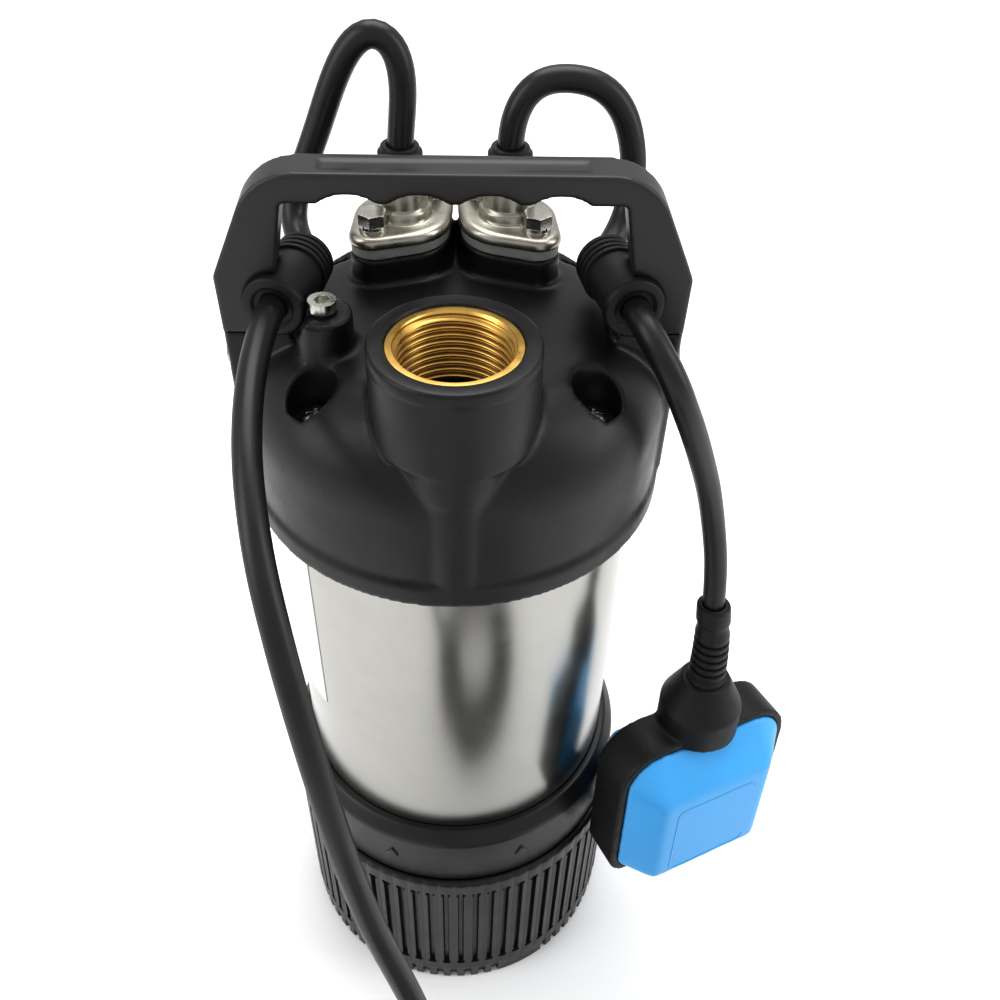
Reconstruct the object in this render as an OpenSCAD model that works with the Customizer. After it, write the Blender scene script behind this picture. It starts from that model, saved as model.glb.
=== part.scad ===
/* [Casing] */
// Outer radius of the steel casing
case_r = 60.6; // [58:0.1:62]
// Sheet thickness of the casing
case_wall = 0.8; // [0.6:0.1:1.2]
// Height of the casing's lower edge above the floor
case_z = 97; // [96.5:0.1:98]
// Height of the casing's upper edge above the floor
case_top = 259; // [257:0.1:259]
/* [Head] */
// Radius of the head's flange band
flange_r = 67.7; // [67.2:0.1:69]
// Height of the flange band's lower edge
flange_z = 254.8; // [254.5:0.1:255.5]
// Height of the flange band
flange_h = 9.2; // [8:0.1:10]
// Radius of the dome's wall
dome_r = 66.5; // [66:0.1:67]
// Height of the dome's flat top
dome_top = 315; // [314:0.5:316]
// Radius of the dome's shoulder
dome_round = 28; // [24:0.5:30]
/* [Outlet] */
// Distance of the outlet's axis in front of the pump's axis
outlet_y = 44.9; // [44:0.1:45.5]
// Outer radius of the outlet boss
outlet_r = 23.3; // [22.5:0.1:24]
// Height of the outlet's rim
outlet_top = 333.2; // [330:0.1:336]
// Bore radius of the 1 inch female pipe thread at its crests
thread_r = 15.15; // [15:0.01:15.3]
// Length of the threaded brass insert
insert_h = 22; // [18:0.5:24]
/* [Handle] */
// Height of the handle's top
handle_top = 364.8; // [364:0.1:366]
// Front face of the handle
handle_front = -16; // [-17:0.1:-15.5]
// Thickness of the handle from front to back
handle_depth = 12.5; // [11:0.5:13]
/* [Base] */
// Radius of the base ring
ring_r = 67; // [66:0.1:68]
// Outer radius of the strainer
strainer_r = 69.7; // [69:0.1:71]
// Height of the strainer
strainer_h = 87.7; // [86:0.1:87.8]
// Number of slots round the strainer
slot_count = 69; // [60:1:72]
// Width of a strainer slot
slot_w = 1.6; // [1.2:0.1:2]
/* [Hydraulics] */
// Height of the first stage's floor
stage_z = 97; // [97:0.1:97.5]
// Height of one stage
stage_h = 18; // [18:0.1:18]
// Outer radius of the stage bowls and of the motor's shell
bowl_r = 49; // [48.5:0.1:49.2]
// Outer radius of the impellers
impeller_r = 38; // [34:0.5:38.5]
/* [Motor] */
// Radius of the shaft through the impellers
shaft_r = 5.5; // [5:0.1:5.5]
// Height of the motor shell's lower edge
shell_z = 183; // [183:0.1:183]
// Height of the motor shell's upper edge
shell_top = 268; // [268:0.1:268]
// Air gap between the rotor and the stator
air_gap = 0.5; // [0.3:0.1:0.8]
/* [Float] */
// Width of the float switch
float_w = 76; // [70:1:80]
// Height of the float switch's body
float_h = 70.5; // [66:0.5:76]
// Thickness of the black frame round the float
float_band = 18; // [16:0.5:20]
// How far each blue face stands out of the frame
float_bulge = 11; // [8:0.5:13]
/* [Cable] */
// Diameter of both rubber cables
cord_d = 8; // [7.8:0.1:8.2]
// Radius to the middle of the coil's bundle
coil_r = 72; // [70:1:73]
// Width of the coil's bundle
coil_w = 42; // [40:1:43]
// Height of the coil's bundle
coil_h = 33; // [32:0.5:34]

/* [Hidden] */
$fn = 64;

// fits and small allowances
gap = 0.1;
run = 0.4;
eps = 0.5;
flange_top = flange_z + flange_h;
cord_r = cord_d / 2;
// head
groove_h = 1.6;
groove_r = dome_r - 1.2;
pocket_r = bowl_r + 0.6;
chamber_r = case_r - case_wall - 0.9;
chamber_top = 284;
dry_r = 33;
dry_y = 12;
dry_top = 309;
insert_r = 18.45;
insert_top = outlet_top - 0.8;
outlet_floor = 270;
nose_r = 13;
nose_front = -(outlet_y + outlet_r);
nose_low = 295;
nose_high = 317;
lug_r = 68.3;
lug_top = 316;
lug_in = 47;
// vent screw
vent_xy = [-37, -19.5];
vent_top = 326;
vent_boss_r = 8.3;
vent_screw_r = 2.5;
vent_head_r = 4;
// long screws that clamp the head to the base ring
screw_xy = [40, 34.5];
screw_seat = 297.4;
screw_r = 2.4;
screw_head_r = 4.7;
pan_r = 6.6;
recess_r = 7.3;
screw_low = 100;
// cable glands
gland_xy = [16.5, 29];
gland_turn = 38.3;
bolt_span = 13.6;
gland_mid_r = 15;
gland_end_r = 7.3;
pad_top = 324;
gasket_h = 3.5;
plate_h = 3.6;
collar_r = 9.2;
collar_h = 3.2;
tube_r = 8;
tube_h = 13;
washer_r = 4.3;
sleeve_r = 6.2;
sleeve_top = 353;
plug_r = 6.9;
bolt_r = 2;
plate_top = pad_top + gasket_h + plate_h;
flat_h = 0.8;
spring_h = 1.1;
bolt_head_h = 3.8;
hex_8 = 8 / sqrt(3);
// handle outline
knee = [67, 334];
corner_r = 18;
corner = [41.5, handle_top - corner_r];
inner_x = 46;
inner_low_x = 50;
bar_low = 356.3;
grip_r = 13;
grip_depth = 2.6;
grip_step = 19;
tongue_low = 297;
// grommets
grommet_at = [50.6, -18.5, 327];
grommet_turn = 13;
grommet_lip = 3;
grommet_len = 27;
grommet_r = 9.3;
grommet_neck_r = 8.2;
// base
ring_low = 88.3;
ring_lip_z = 114;
ring_top = 119;
ring_floor = 112;
neck_r = 65.4;
neck_low = 79;
label_from = 128;
label_low = 168;
label_h = 78;
strainer_wall = 2.7;
strainer_in = strainer_r - strainer_wall;
foot_angles = [-25, 25, 155, 205];
lug_angles = [45, 135, 225, 315];
// hydraulics
wall_in = bowl_r - 2.5;
disc_r = 42.5;
hub_r = 8.2;
eye_r = 15;
// motor
bracket_h = 10;
bearing_r = 16;
bearing_in = 6;
bearing_w = 9;
ball_mid_r = 11;
ball_r = 3;
upper_bracket_z = shell_top - bracket_h;
shell_in = bowl_r - 0.8;
core_z = 202;
core_h = 44;
rotor_r = 24;
bore_r = rotor_r + air_gap;
slot_n = 12;
stator_r = shell_in - gap;
// float switch: it hangs from the right-hand grommet
float_top = [93, -34.8, 153.3];
float_turn = 24.6;
float_tip = -4.6;
float_neck_h = 61;
float_wall = 2.2;
ball_radius = 7;
// lead from the right-hand gland over and through the right-hand grommet
loop_route = [
    [16.5, 29, 345], [16.5, 29, 354], [17.4, 29, 361], [19.6, 29.4, 366.6], [23.2, 30, 370.4],
    [28, 31, 372], [34, 31.6, 372], [40.4, 31.6, 370.8], [46, 31.2, 367.4], [50, 30.8, 362],
    [52.6, 30, 355], [54, 28.8, 347], [53.6, 26.4, 339.4], [51.8, 22.4, 333], [48.8, 17.6, 329],
    [45.8, 12.6, 327.2], [44.7, 7, 327], [45.9, 2, 327], [48.2, -8, 327], [50.9, -19.7, 327]
];
tail_route = [
    [51, -20.1, 327], [51.6, -22.8, 327], [52.9, -27.2, 326.4], [54.8, -31.2, 324.4],
    [58, -34.8, 320], [61.8, -36.6, 313.4], [66, -36.2, 304], [70.8, -33.4, 292.4],
    [75.8, -29.8, 279], [80.6, -26.8, 265], [84.8, -25.4, 249.6], [88.1, -26.4, 234],
    [89.7, -28.3, 221], [90.3, -29.9, 212]
];
// mains cable from the left-hand gland, through the left-hand grommet, down to the coil
mains_route = [
    [-16.5, 29, 345], [-16.2, 29, 354], [-15.4, 29, 362], [-14.9, 29.2, 370], [-15.6, 29.6, 377],
    [-18, 30, 382], [-22, 30, 384.4], [-26.4, 30, 382.8], [-30.6, 30, 378], [-34.5, 30, 371],
    [-37.6, 30, 364], [-40.4, 30, 357], [-43.4, 29.8, 350], [-46.6, 29, 342.6], [-49, 27, 335.6],
    [-49.4, 23, 330.6], [-47.6, 18, 328], [-45.4, 12.6, 327.1], [-44.7, 7, 327], [-45.9, 2, 327],
    [-48.2, -8, 327], [-50.9, -19.6, 327], [-52, -26, 326.6], [-53.2, -36, 324.2], [-53.8, -47, 321],
    [-53.4, -59, 317], [-52.2, -70.6, 312.4], [-50.2, -82, 306], [-47.6, -92.6, 297.6],
    [-44.2, -102.4, 286.6], [-40.6, -111, 272.6], [-36.8, -118.4, 256], [-33.4, -123.8, 239],
    [-30.6, -127, 222], [-27.6, -129.2, 204], [-23.6, -131.8, 185], [-18.2, -134.8, 165.4],
    [-13, -137.8, 146], [-8.6, -140.8, 126], [-5.4, -143.4, 105], [-3.2, -145.8, 84],
    [-1.6, -148.2, 64], [1, -150.8, 46], [6.6, -153.6, 29.6], [15.6, -156.4, 16.4],
    [27, -158.6, 8.4], [38, -160.2, 5], [46, -161, 4.4]
];
coil_centre = [50, -250];
// moulded plug, lying on the coil with its pins to the left
plug_l = 30;
plug_w = 27;
plug_h = 28;
relief_l = 26;
blade_span = 12.7;
blade_l = 18;
blade_h = 6.3;
blade_t = 1.5;
earth_r = 2.4;
earth_l = 21;
earth_drop = 11.9;
blade_up = 5;

function unit(v) = v / norm(v);
function along(p, i) = unit(p[min(i + 1, len(p) - 1)] - p[max(i - 1, 0)]);
// carries a normal along the route without twist
function carried(p, i) = i == 0
    ? unit(cross(along(p, 0), [0.3, 0.9, 0.1]))
    : let (t = along(p, i), v = carried(p, i - 1)) unit(v - (v * t) * t);
function ring_at(p, i, r, n) = let (t = along(p, i), u = carried(p, i), v = cross(t, u))
    [for (k = [0:n - 1]) p[i] + r * (cos(360 * k / n) * u + sin(360 * k / n) * v)];

module cord(p, r, n = 12) {
    last = (len(p) - 1) * n;
    polyhedron(
        points = [for (i = [0:len(p) - 1]) each ring_at(p, i, r, n)],
        faces = concat(
            [[for (k = [0:n - 1]) k], [for (k = [n - 1:-1:0]) last + k]],
            [for (i = [0:len(p) - 2], k = [0:n - 1])
                let (a = i * n + k, b = i * n + (k + 1) % n) each [[a, a + n, b + n], [a, b + n, b]]]
        )
    );
}

module tube(r, r_in, h, n = $fn) {
    difference() {
        cylinder(r = r, h = h, $fn = n);
        translate([0, 0, -eps]) cylinder(r = r_in, h = h + 2 * eps, $fn = n);
    }
}

// copies a child to both sides
module both_sides() {
    children();
    mirror([1, 0, 0]) children();
}

module at_screws() {
    for (sx = [-1, 1], sy = [-1, 1]) translate([sx * screw_xy[0], sy * screw_xy[1], 0]) children();
}

// outline with two round ends and a round middle
module rhomb_outline(grow = 0) {
    hull() {
        circle(r = gland_mid_r + grow);
        for (s = [-1, 1]) translate([s * bolt_span, 0]) circle(r = gland_end_r + grow, $fn = 32);
    }
}

// places a right-hand gland piece: its long axis runs to the front bolt
module on_gland(z) {
    translate([gland_xy[0], gland_xy[1], z]) rotate(-90 + gland_turn) children();
}

module at_gland_bolts(z) {
    both_sides() on_gland(z) for (s = [-1, 1]) translate([s * bolt_span, 0, 0]) children();
}

module gland_pad() {
    on_gland(dome_top - 12) linear_extrude(pad_top - dome_top + 12) rhomb_outline();
}

// half section of the dome: a wall, a round shoulder and a flat top
function dome_section() = concat(
    [[0, flange_top], [dome_r, flange_top]],
    [for (a = [0:6:90]) [dome_r - dome_round * (1 - cos(a)), dome_top - dome_round * (1 - sin(a))]],
    [[0, dome_top]]
);

module head_outside() {
    rotate_extrude($fn = 128) polygon(dome_section());
    translate([0, 0, flange_z]) cylinder(r = flange_r, h = flange_h - groove_h, $fn = 128);
    translate([0, 0, flange_top - groove_h - 1]) cylinder(r = groove_r, h = groove_h + 2, $fn = 128);
    translate([0, -outlet_y, nose_high - 12]) cylinder(r = outlet_r, h = outlet_top - nose_high + 12);
    translate([0, nose_front + nose_r, flange_z + 1]) cylinder(r = nose_r - 0.3, h = nose_low - flange_z);
    hull() {
        translate([0, nose_front + nose_r, nose_low]) cylinder(r = nose_r, h = 1, $fn = 48);
        translate([0, -outlet_y, nose_high]) cylinder(r = outlet_r - 0.3, h = 1, $fn = 48);
    }
    translate([vent_xy[0], vent_xy[1], dome_top - 15])
        cylinder(r = vent_boss_r, h = vent_top - dome_top + 15);
    both_sides() {
        gland_pad();
        intersection() {
            translate([0, 0, flange_top]) cylinder(r = lug_r, h = lug_top - flange_top, $fn = 128);
            translate([lug_in, handle_front, flange_top])
                cube([lug_r, handle_depth, lug_top - flange_top]);
        }
    }
}

module handle_screw_axis(z) {
    translate([0, handle_front + handle_depth / 2, z]) rotate([0, 90, 0]) children();
}

module pump_head() {
    color("#2b2b2d") difference() {
        head_outside();
        translate([0, 0, flange_z - eps]) {
            difference() {
                cylinder(r = case_r + gap, h = case_top + 2.6 - flange_z + eps, $fn = 128);
                translate([0, 0, -eps]) cylinder(r = case_r - case_wall - gap, h = 20, $fn = 128);
            }
            cylinder(r = pocket_r, h = shell_top - flange_z + eps, $fn = 128);
            tube(chamber_r, pocket_r - 1, chamber_top - flange_z + eps);
        }
        translate([0, dry_y, shell_top - eps]) cylinder(r = dry_r, h = dry_top - shell_top + eps);
        translate([0, -outlet_y, outlet_floor]) cylinder(r = thread_r + 1, h = outlet_top);
        translate([0, -outlet_y, insert_top - insert_h]) cylinder(r = insert_r, h = outlet_top);
        at_screws() {
            translate([0, 0, screw_seat]) cylinder(r = recess_r, h = 30);
            translate([0, 0, flange_z]) cylinder(r = screw_r + 0.3, h = 60);
        }
        translate([vent_xy[0], vent_xy[1], chamber_top - 20]) cylinder(r = vent_screw_r + gap, h = 80);
        both_sides() on_gland(dry_top - 6) cylinder(r = plug_r, h = 40);
        at_gland_bolts(dry_top + 2) cylinder(r = bolt_r + gap, h = 40);
        both_sides() {
            translate([55.8, handle_front + 3, tongue_low - 0.2]) cube([6.4, handle_depth - 6, 40]);
            translate([54, 0, 0]) handle_screw_axis(306) cylinder(r = 1.9, h = 30);
            translate([lug_r - 3, 0, 0]) handle_screw_axis(306) cylinder(r = 4, h = 10);
            on_grommet() translate([0, 0, -10]) cylinder(r = grommet_r + 0.6, h = 50);
        }
    }
}

module outlet_insert() {
    color("#c9a04c") translate([0, -outlet_y, insert_top - insert_h])
        tube(insert_r - gap / 2, thread_r, insert_h);
}

module vent_screw() {
    color("#c8c8c4") translate([vent_xy[0], vent_xy[1], 0]) difference() {
        union() {
            translate([0, 0, vent_top + 0.8]) cylinder(r = vent_head_r, h = 3);
            translate([0, 0, 300]) cylinder(r = vent_screw_r, h = vent_top + 1.5 - 300);
        }
        translate([0, 0, vent_top + 1.8]) cylinder(r = 4 / sqrt(3), h = 5, $fn = 6);
    }
}

module vent_washer() {
    color("#1d1d1f") translate([vent_xy[0], vent_xy[1], vent_top]) tube(vent_head_r, vent_screw_r + gap, 0.8);
}

module tie_screws() {
    color("#c8c8c4") at_screws() difference() {
        union() {
            translate([0, 0, screw_low]) cylinder(r = screw_r, h = screw_seat + 1 - screw_low);
            translate([0, 0, screw_seat + 0.8]) intersection() {
                cylinder(r = screw_head_r, h = 5);
                translate([0, 0, 3.6 - pan_r]) sphere(r = pan_r);
            }
        }
        for (a = [0, 90]) rotate(a) translate([-2.6, -0.5, screw_seat + 2]) cube([5.2, 1, 3]);
    }
}

module tie_screw_washers() {
    color("#b9b9b5") at_screws() translate([0, 0, screw_seat]) tube(5.6, screw_r + gap, 0.8);
}

module gland_gaskets() {
    color("#a9aaa6") both_sides() on_gland(pad_top) difference() {
        linear_extrude(gasket_h) rhomb_outline(-0.4);
        translate([0, 0, -eps]) cylinder(r = plug_r, h = 10);
        for (s = [-1, 1]) translate([s * bolt_span, 0, -eps]) cylinder(r = bolt_r + gap, h = 10);
    }
}

module gland_flanges() {
    color("#c9c8c0") both_sides() on_gland(pad_top + gasket_h) difference() {
        union() {
            linear_extrude(plate_h) rhomb_outline(0.3);
            cylinder(r = collar_r, h = plate_h + collar_h);
            cylinder(r = tube_r, h = plate_h + tube_h);
        }
        translate([0, 0, -eps]) cylinder(r = plug_r, h = plate_h + tube_h + 1);
        for (s = [-1, 1]) translate([s * bolt_span, 0, -eps]) cylinder(r = bolt_r + gap, h = 10);
    }
}

module gland_sleeve(side) {
    color("#2a2a2c") mirror([side < 0 ? 1 : 0, 0, 0]) translate([gland_xy[0], gland_xy[1], dry_top + 1])
        difference() {
            union() {
                cylinder(r = plug_r - gap / 2, h = plate_top + 2 - dry_top);
                cylinder(r = sleeve_r, h = sleeve_top - dry_top - 1);
                translate([0, 0, sleeve_top - dry_top - 6]) cylinder(r = sleeve_r + 0.5, h = 4);
            }
            translate([0, 0, -eps]) cylinder(r = cord_r + 0.05, h = 60);
        }
}

module gland_bolts() {
    color("#c8c8c4") at_gland_bolts(plate_top + flat_h + spring_h) {
        cylinder(r = hex_8, h = bolt_head_h, $fn = 6);
        translate([0, 0, dry_top + 3 - plate_top]) cylinder(r = bolt_r, h = plate_top - dry_top);
    }
}

module gland_flat_washers() {
    color("#bdbdb8") at_gland_bolts(plate_top) tube(washer_r, bolt_r + gap, flat_h);
}

module gland_spring_washers() {
    color("#aaaaa6") at_gland_bolts(plate_top + flat_h) difference() {
        tube(4.2, bolt_r + gap, spring_h);
        translate([0, -0.3, -eps]) cube([6, 0.6, 3]);
    }
}

module handle_outline() {
    reach = knee - corner;
    turn = atan2(reach[1], reach[0]) + acos(corner_r / norm(reach));
    both_sides() difference() {
        union() {
            polygon([
                [0, lug_top], [knee[0] - 0.3, lug_top], knee,
                corner + corner_r * [cos(turn), sin(turn)], corner, [corner[0], handle_top], [0, handle_top]
            ]);
            translate(corner) circle(r = corner_r, $fn = 96);
        }
        polygon([
            [-1, lug_top - 1], [inner_low_x + 1, lug_top - 1], [inner_low_x, knee[1]],
            [inner_x, bar_low], [-1, bar_low]
        ]);
    }
}

module handle() {
    color("#2e2e30") difference() {
        union() {
            translate([0, handle_front + handle_depth, 0]) rotate([90, 0, 0])
                linear_extrude(handle_depth) handle_outline();
            both_sides() translate([56, handle_front + 3.2, tongue_low])
                cube([6, handle_depth - 6.4, lug_top - tongue_low + 1]);
        }
        for (i = [-1.5:1:1.5]) translate([i * grip_step, 20, bar_low - grip_r + grip_depth])
            rotate([90, 0, 0]) cylinder(r = grip_r, h = 60);
        translate([-36, handle_front + 3.2, handle_top - 0.5]) cube([72, handle_depth - 6.4, 2]);
        both_sides() {
            on_grommet() translate([0, 0, -10]) cylinder(r = grommet_neck_r + gap, h = 60);
            translate([50, 0, 0]) handle_screw_axis(306) cylinder(r = 1.6, h = 16);
        }
    }
}

module handle_screws() {
    color("#c8c8c4") both_sides() {
        translate([54.5, 0, 0]) handle_screw_axis(306) cylinder(r = 1.5, h = lug_r - 57.4);
        translate([lug_r - 3, 0, 0]) handle_screw_axis(306) difference() {
            cylinder(r = 3.6, h = 2.2);
            for (a = [0, 90]) rotate(a) translate([-2, -0.4, 1.2]) cube([4, 0.8, 3]);
        }
    }
}

// right-hand grommet's place: z runs backwards along the cable, origin on its front lip
module on_grommet() {
    translate(grommet_at) rotate([-90, 0, grommet_turn]) children();
}

// ribbed rubber sleeve round the cable, gripped by the handle's leg
module cable_grommet(side) {
    color("#303032") mirror([side < 0 ? 1 : 0, 0, 0]) on_grommet() difference() {
        union() {
            translate([0, 0, -0.5]) cylinder(r = grommet_neck_r, h = grommet_len);
            translate([0, 0, -1.2]) cylinder(r = grommet_r, h = grommet_lip);
            for (k = [0:3]) translate([0, 0, grommet_len - 9.4 + 2.5 * k])
                cylinder(r = grommet_r - 0.15 * k, h = 1.9);
        }
        translate([0, 0, -10]) cylinder(r = cord_r + 0.05, h = 60);
    }
}

module outer_casing() {
    color("#cfd0cf") translate([0, 0, case_z]) tube(case_r, case_r - case_wall, case_top - case_z, 128);
}

module label_plate() {
    color("#e9e9e6") rotate(label_from) intersection() {
        translate([0, 0, label_low]) tube(case_r + 0.25, case_r + 0.02, label_h, 128);
        translate([0, 0, label_low - 1]) cube([80, 80, label_h + 2]);
    }
}

module casing_seals() {
    color("#1b1b1d") for (z = [case_z - 2.4, case_top + 0.2])
        translate([0, 0, z]) tube(case_r, case_r - case_wall, 2.2, 128);
}

// small raised arrow on the base ring
module ring_mark() {
    translate([ring_r - 1, 0, 103]) rotate([90, 0, 90])
        linear_extrude(1.4) polygon([[-2.6, -2], [2.6, -2], [0, 2.4]]);
}

module base_ring() {
    color("#2a2a2c") difference() {
        union() {
            rotate_extrude($fn = 128) polygon([
                [pocket_r, ring_low], [pocket_r, neck_low + 4], [neck_r, neck_low + 4],
                [neck_r, ring_low], [ring_r, ring_low], [ring_r, ring_lip_z - 1],
                [ring_r - 0.6, ring_lip_z + 0.6], [case_r + 2.4, ring_top], [case_r + gap, ring_top],
                [case_r + gap, case_z - 2.5], [case_r - case_wall - gap, case_z - 2.5],
                [case_r - case_wall - gap, ring_floor], [pocket_r, ring_floor]
            ]);
            for (a = [22.5:45:360]) rotate(a) ring_mark();
            for (a = lug_angles) rotate(a)
                translate([neck_r - 1, -3.5, neck_low + 4]) cube([strainer_in + 1.7 - neck_r, 7, 2.4]);
        }
        at_screws() translate([0, 0, screw_low - 2]) cylinder(r = screw_r + gap / 2, h = 40);
    }
}

module strainer() {
    color("#2f2f31") difference() {
        cylinder(r = strainer_r, h = strainer_h, $fn = 128);
        translate([0, 0, 4]) cylinder(r = strainer_in, h = strainer_h, $fn = 128);
        for (k = [0:slot_count - 1]) rotate(360 * k / slot_count)
            translate([strainer_in - 2, -slot_w / 2, 16]) cube([10, slot_w, 64]);
        for (k = [0:slot_count - 1]) if (min([for (f = foot_angles) abs(turn_from(k, f))]) > 8)
            rotate(360 * (k + 0.5) / slot_count) translate([strainer_in + 0.9, -slot_w / 2, -1])
                cube([10, slot_w, 9]);
        for (k = [0:11]) rotate(30 * k) translate([20, -2, -2]) cube([26, 4, 10]);
        for (a = lug_angles) rotate(a) {
            translate([strainer_in - 2, -4.2, neck_low + 3.6]) cube([3, 16.2, 3]);
            translate([strainer_in - 2, 4, neck_low + 3.6]) cube([3, 8, 20]);
        }
    }
}

// smallest turn from foot angle f to the lower notch k, measured from the front
function turn_from(k, f) = let (a = 360 * (k + 0.5) / slot_count + 90 - f) a - 360 * round(a / 360);

module suction_cover() {
    color("#3a3a3d") translate([0, 0, stage_z - 8]) difference() {
        union() {
            cylinder(r = bowl_r, h = 8);
            translate([0, 0, -6]) cylinder(r = 24, h = 8);
        }
        translate([0, 0, -20]) cylinder(r = eye_r, h = 40);
        translate([0, 0, -0.5]) tube(44, 27, 5);
    }
}

// one curved blade: a thin arc wall between two radii
module blade(r_in, r_out, w, sweep_r) {
    intersection() {
        difference() {
            circle(r = r_out);
            circle(r = r_in);
        }
        translate([0, sweep_r]) difference() {
            circle(r = sweep_r);
            circle(r = sweep_r - w);
            translate([-4 * sweep_r, -2 * sweep_r]) square([4 * sweep_r, 4 * sweep_r]);
        }
    }
}

module blades(n, r_in, r_out, w, sweep_r, h) {
    linear_extrude(h) for (k = [0:n - 1]) rotate(360 * k / n) blade(r_in, r_out, w, sweep_r);
}

// stage bowl: outer wall, guide blades, partition disc, return blades and the next floor
module diffuser(i) {
    color("#44454a") translate([0, 0, stage_z + i * stage_h]) {
        tube(bowl_r, wall_in, stage_h);
        translate([0, 0, 0.4]) blades(8, 39.6, wall_in + 0.5, 1.4, 36, 11);
        translate([0, 0, 10.5]) tube(disc_r, hub_r + run, 2);
        translate([0, 0, 12]) blades(8, 17, wall_in + 0.7, 1.4, 36, 5);
        translate([0, 0, stage_h - 1.5]) tube(wall_in + 0.9, eye_r + 0.5, 1.5);
    }
}

module impeller(i) {
    color("#8f9aa3") translate([0, 0, stage_z + i * stage_h + 1.2]) difference() {
        union() {
            cylinder(r = hub_r, h = stage_h);
            translate([0, 0, 7]) cylinder(r = impeller_r, h = 1.6);
            translate([0, 0, 1]) tube(impeller_r, eye_r - 1.5, 1.6);
            translate([0, 0, -0.8]) tube(eye_r - 0.5, eye_r - 2, 3);
            translate([0, 0, 1.6]) blades(6, hub_r - 0.5, impeller_r - 0.6, 1.6, 24, 6);
        }
        translate([0, 0, -5]) cylinder(r = shaft_r + gap / 2, h = 40);
    }
}

module discharge_body() {
    z = stage_z + 4 * stage_h;
    color("#3c3d41") translate([0, 0, z]) difference() {
        union() {
            tube(bowl_r, wall_in, shell_z - z);
            translate([0, 0, shell_z - z - 3]) cylinder(r = bowl_r, h = 3);
            translate([0, 0, 6]) cylinder(r = 17, h = shell_z - z - 6);
        }
        translate([0, 0, 5]) cylinder(r = 13 + gap / 2, h = 6);
        translate([0, 0, 5]) cylinder(r = 8.8, h = 30);
        for (k = [0:7]) rotate(45 * k) translate([wall_in - 2, -10, 2.5]) cube([10, 20, 7]);
    }
}

module seal_seat() {
    color("#d9d4c8") translate([0, 0, stage_z + 4 * stage_h + 7]) tube(13, 7.4, 4);
}

// rotating face of the mechanical seal with its spring cup
module seal_ring() {
    color("#35363a") translate([0, 0, stage_z + 4 * stage_h + 1.3]) {
        tube(10.5, 6 + gap / 2, 3);
        translate([0, 0, 3]) tube(9.6, 6 + gap / 2, 2.6);
    }
}

module lower_bracket() {
    color("#a7a9ab") translate([0, 0, shell_z]) difference() {
        union() {
            cylinder(r = stator_r, h = 3);
            cylinder(r = 20, h = bracket_h);
        }
        translate([0, 0, -eps]) cylinder(r = 9, h = 20);
        translate([0, 0, 1]) cylinder(r = bearing_r + gap / 2, h = 20);
    }
}

module upper_bracket() {
    color("#a7a9ab") translate([0, 0, upper_bracket_z]) difference() {
        union() {
            translate([0, 0, bracket_h - 3]) cylinder(r = stator_r, h = 3);
            cylinder(r = 20, h = bracket_h);
        }
        translate([0, 0, -eps]) cylinder(r = bearing_r + gap / 2, h = bracket_h - 1 + eps);
        translate([0, 30, 0]) cylinder(r = 4, h = 30);
    }
}

module motor_shell() {
    color("#b9bbbd") translate([0, 0, shell_z]) tube(bowl_r, shell_in, shell_top - shell_z);
}

module stator_core() {
    color("#6f7174") translate([0, 0, core_z]) difference() {
        tube(stator_r, bore_r, core_h);
        for (k = [0:slot_n - 1]) rotate(360 * k / slot_n) {
            translate([28, -4, -1]) cube([11, 8, core_h + 2]);
            translate([20, -1.2, -1]) cube([10, 2.4, core_h + 2]);
        }
    }
}

module stator_windings() {
    color("#b5652d") {
        for (z = [core_z - 7, core_z + core_h]) translate([0, 0, z]) tube(40, 28, 7);
        for (k = [0:slot_n - 1]) rotate(360 * k / slot_n)
            translate([28.4, -3.6, core_z - 1]) cube([10.2, 7.2, core_h + 2]);
    }
}

// places a child in both of the motor's bearings, 12 x 32 x 9 deep groove ball bearings
module at_bearings() {
    for (z = [shell_z + 1, upper_bracket_z]) translate([0, 0, z]) children();
}

module ball_groove(r) {
    translate([0, 0, bearing_w / 2]) rotate_extrude() translate([ball_mid_r, 0]) circle(r = r, $fn = 32);
}

module bearing_outer_rings() {
    color("#d3d5d6") at_bearings() difference() {
        tube(bearing_r, ball_mid_r + 2, bearing_w);
        ball_groove(ball_r + gap);
    }
}

module bearing_inner_rings() {
    color("#d8dadb") at_bearings() difference() {
        tube(ball_mid_r - 2, bearing_in + gap / 2, bearing_w);
        ball_groove(ball_r + gap);
    }
}

module bearing_balls() {
    color("#e2e4e5") at_bearings() for (k = [0:7]) rotate(45 * k)
        translate([ball_mid_r, 0, bearing_w / 2]) sphere(r = ball_r, $fn = 32);
}

module capacitor() {
    color("#d8d8d4") translate([-13, 14, shell_top + 0.5]) cylinder(r = 15, h = 36);
}

module thermal_protector() {
    color("#1f1f21") translate([24, 18, core_z + core_h + 7]) cube([14, 7, 4]);
}

module terminal_block() {
    color("#e2ded2") translate([8, 4, shell_top + 0.5]) difference() {
        cube([16, 22, 12]);
        for (k = [0:2]) translate([8, 4 + 7 * k, 6]) cylinder(r = 2, h = 10);
    }
}

module shaft() {
    color("#c5c7c8") {
        translate([0, 0, stage_z - 11]) cylinder(r = shaft_r, h = stage_h * 4 + 20);
        translate([0, 0, stage_z + 4 * stage_h + 1.3]) cylinder(r = 6, h = upper_bracket_z + 8 - 172);
        translate([0, 0, core_z - 6]) cylinder(r = 8, h = core_h + 12);
    }
}

module shaft_nut() {
    color("#c8c8c4") translate([0, 0, stage_z - 5]) difference() {
        union() {
            cylinder(r = 10 / sqrt(3), h = 5, $fn = 6);
            cylinder(r = 8, h = 1);
            translate([0, 0, 5]) cylinder(r = 7, h = 1.1);
        }
        translate([0, 0, -1]) cylinder(r = shaft_r + 0.05, h = 20);
    }
}

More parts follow.
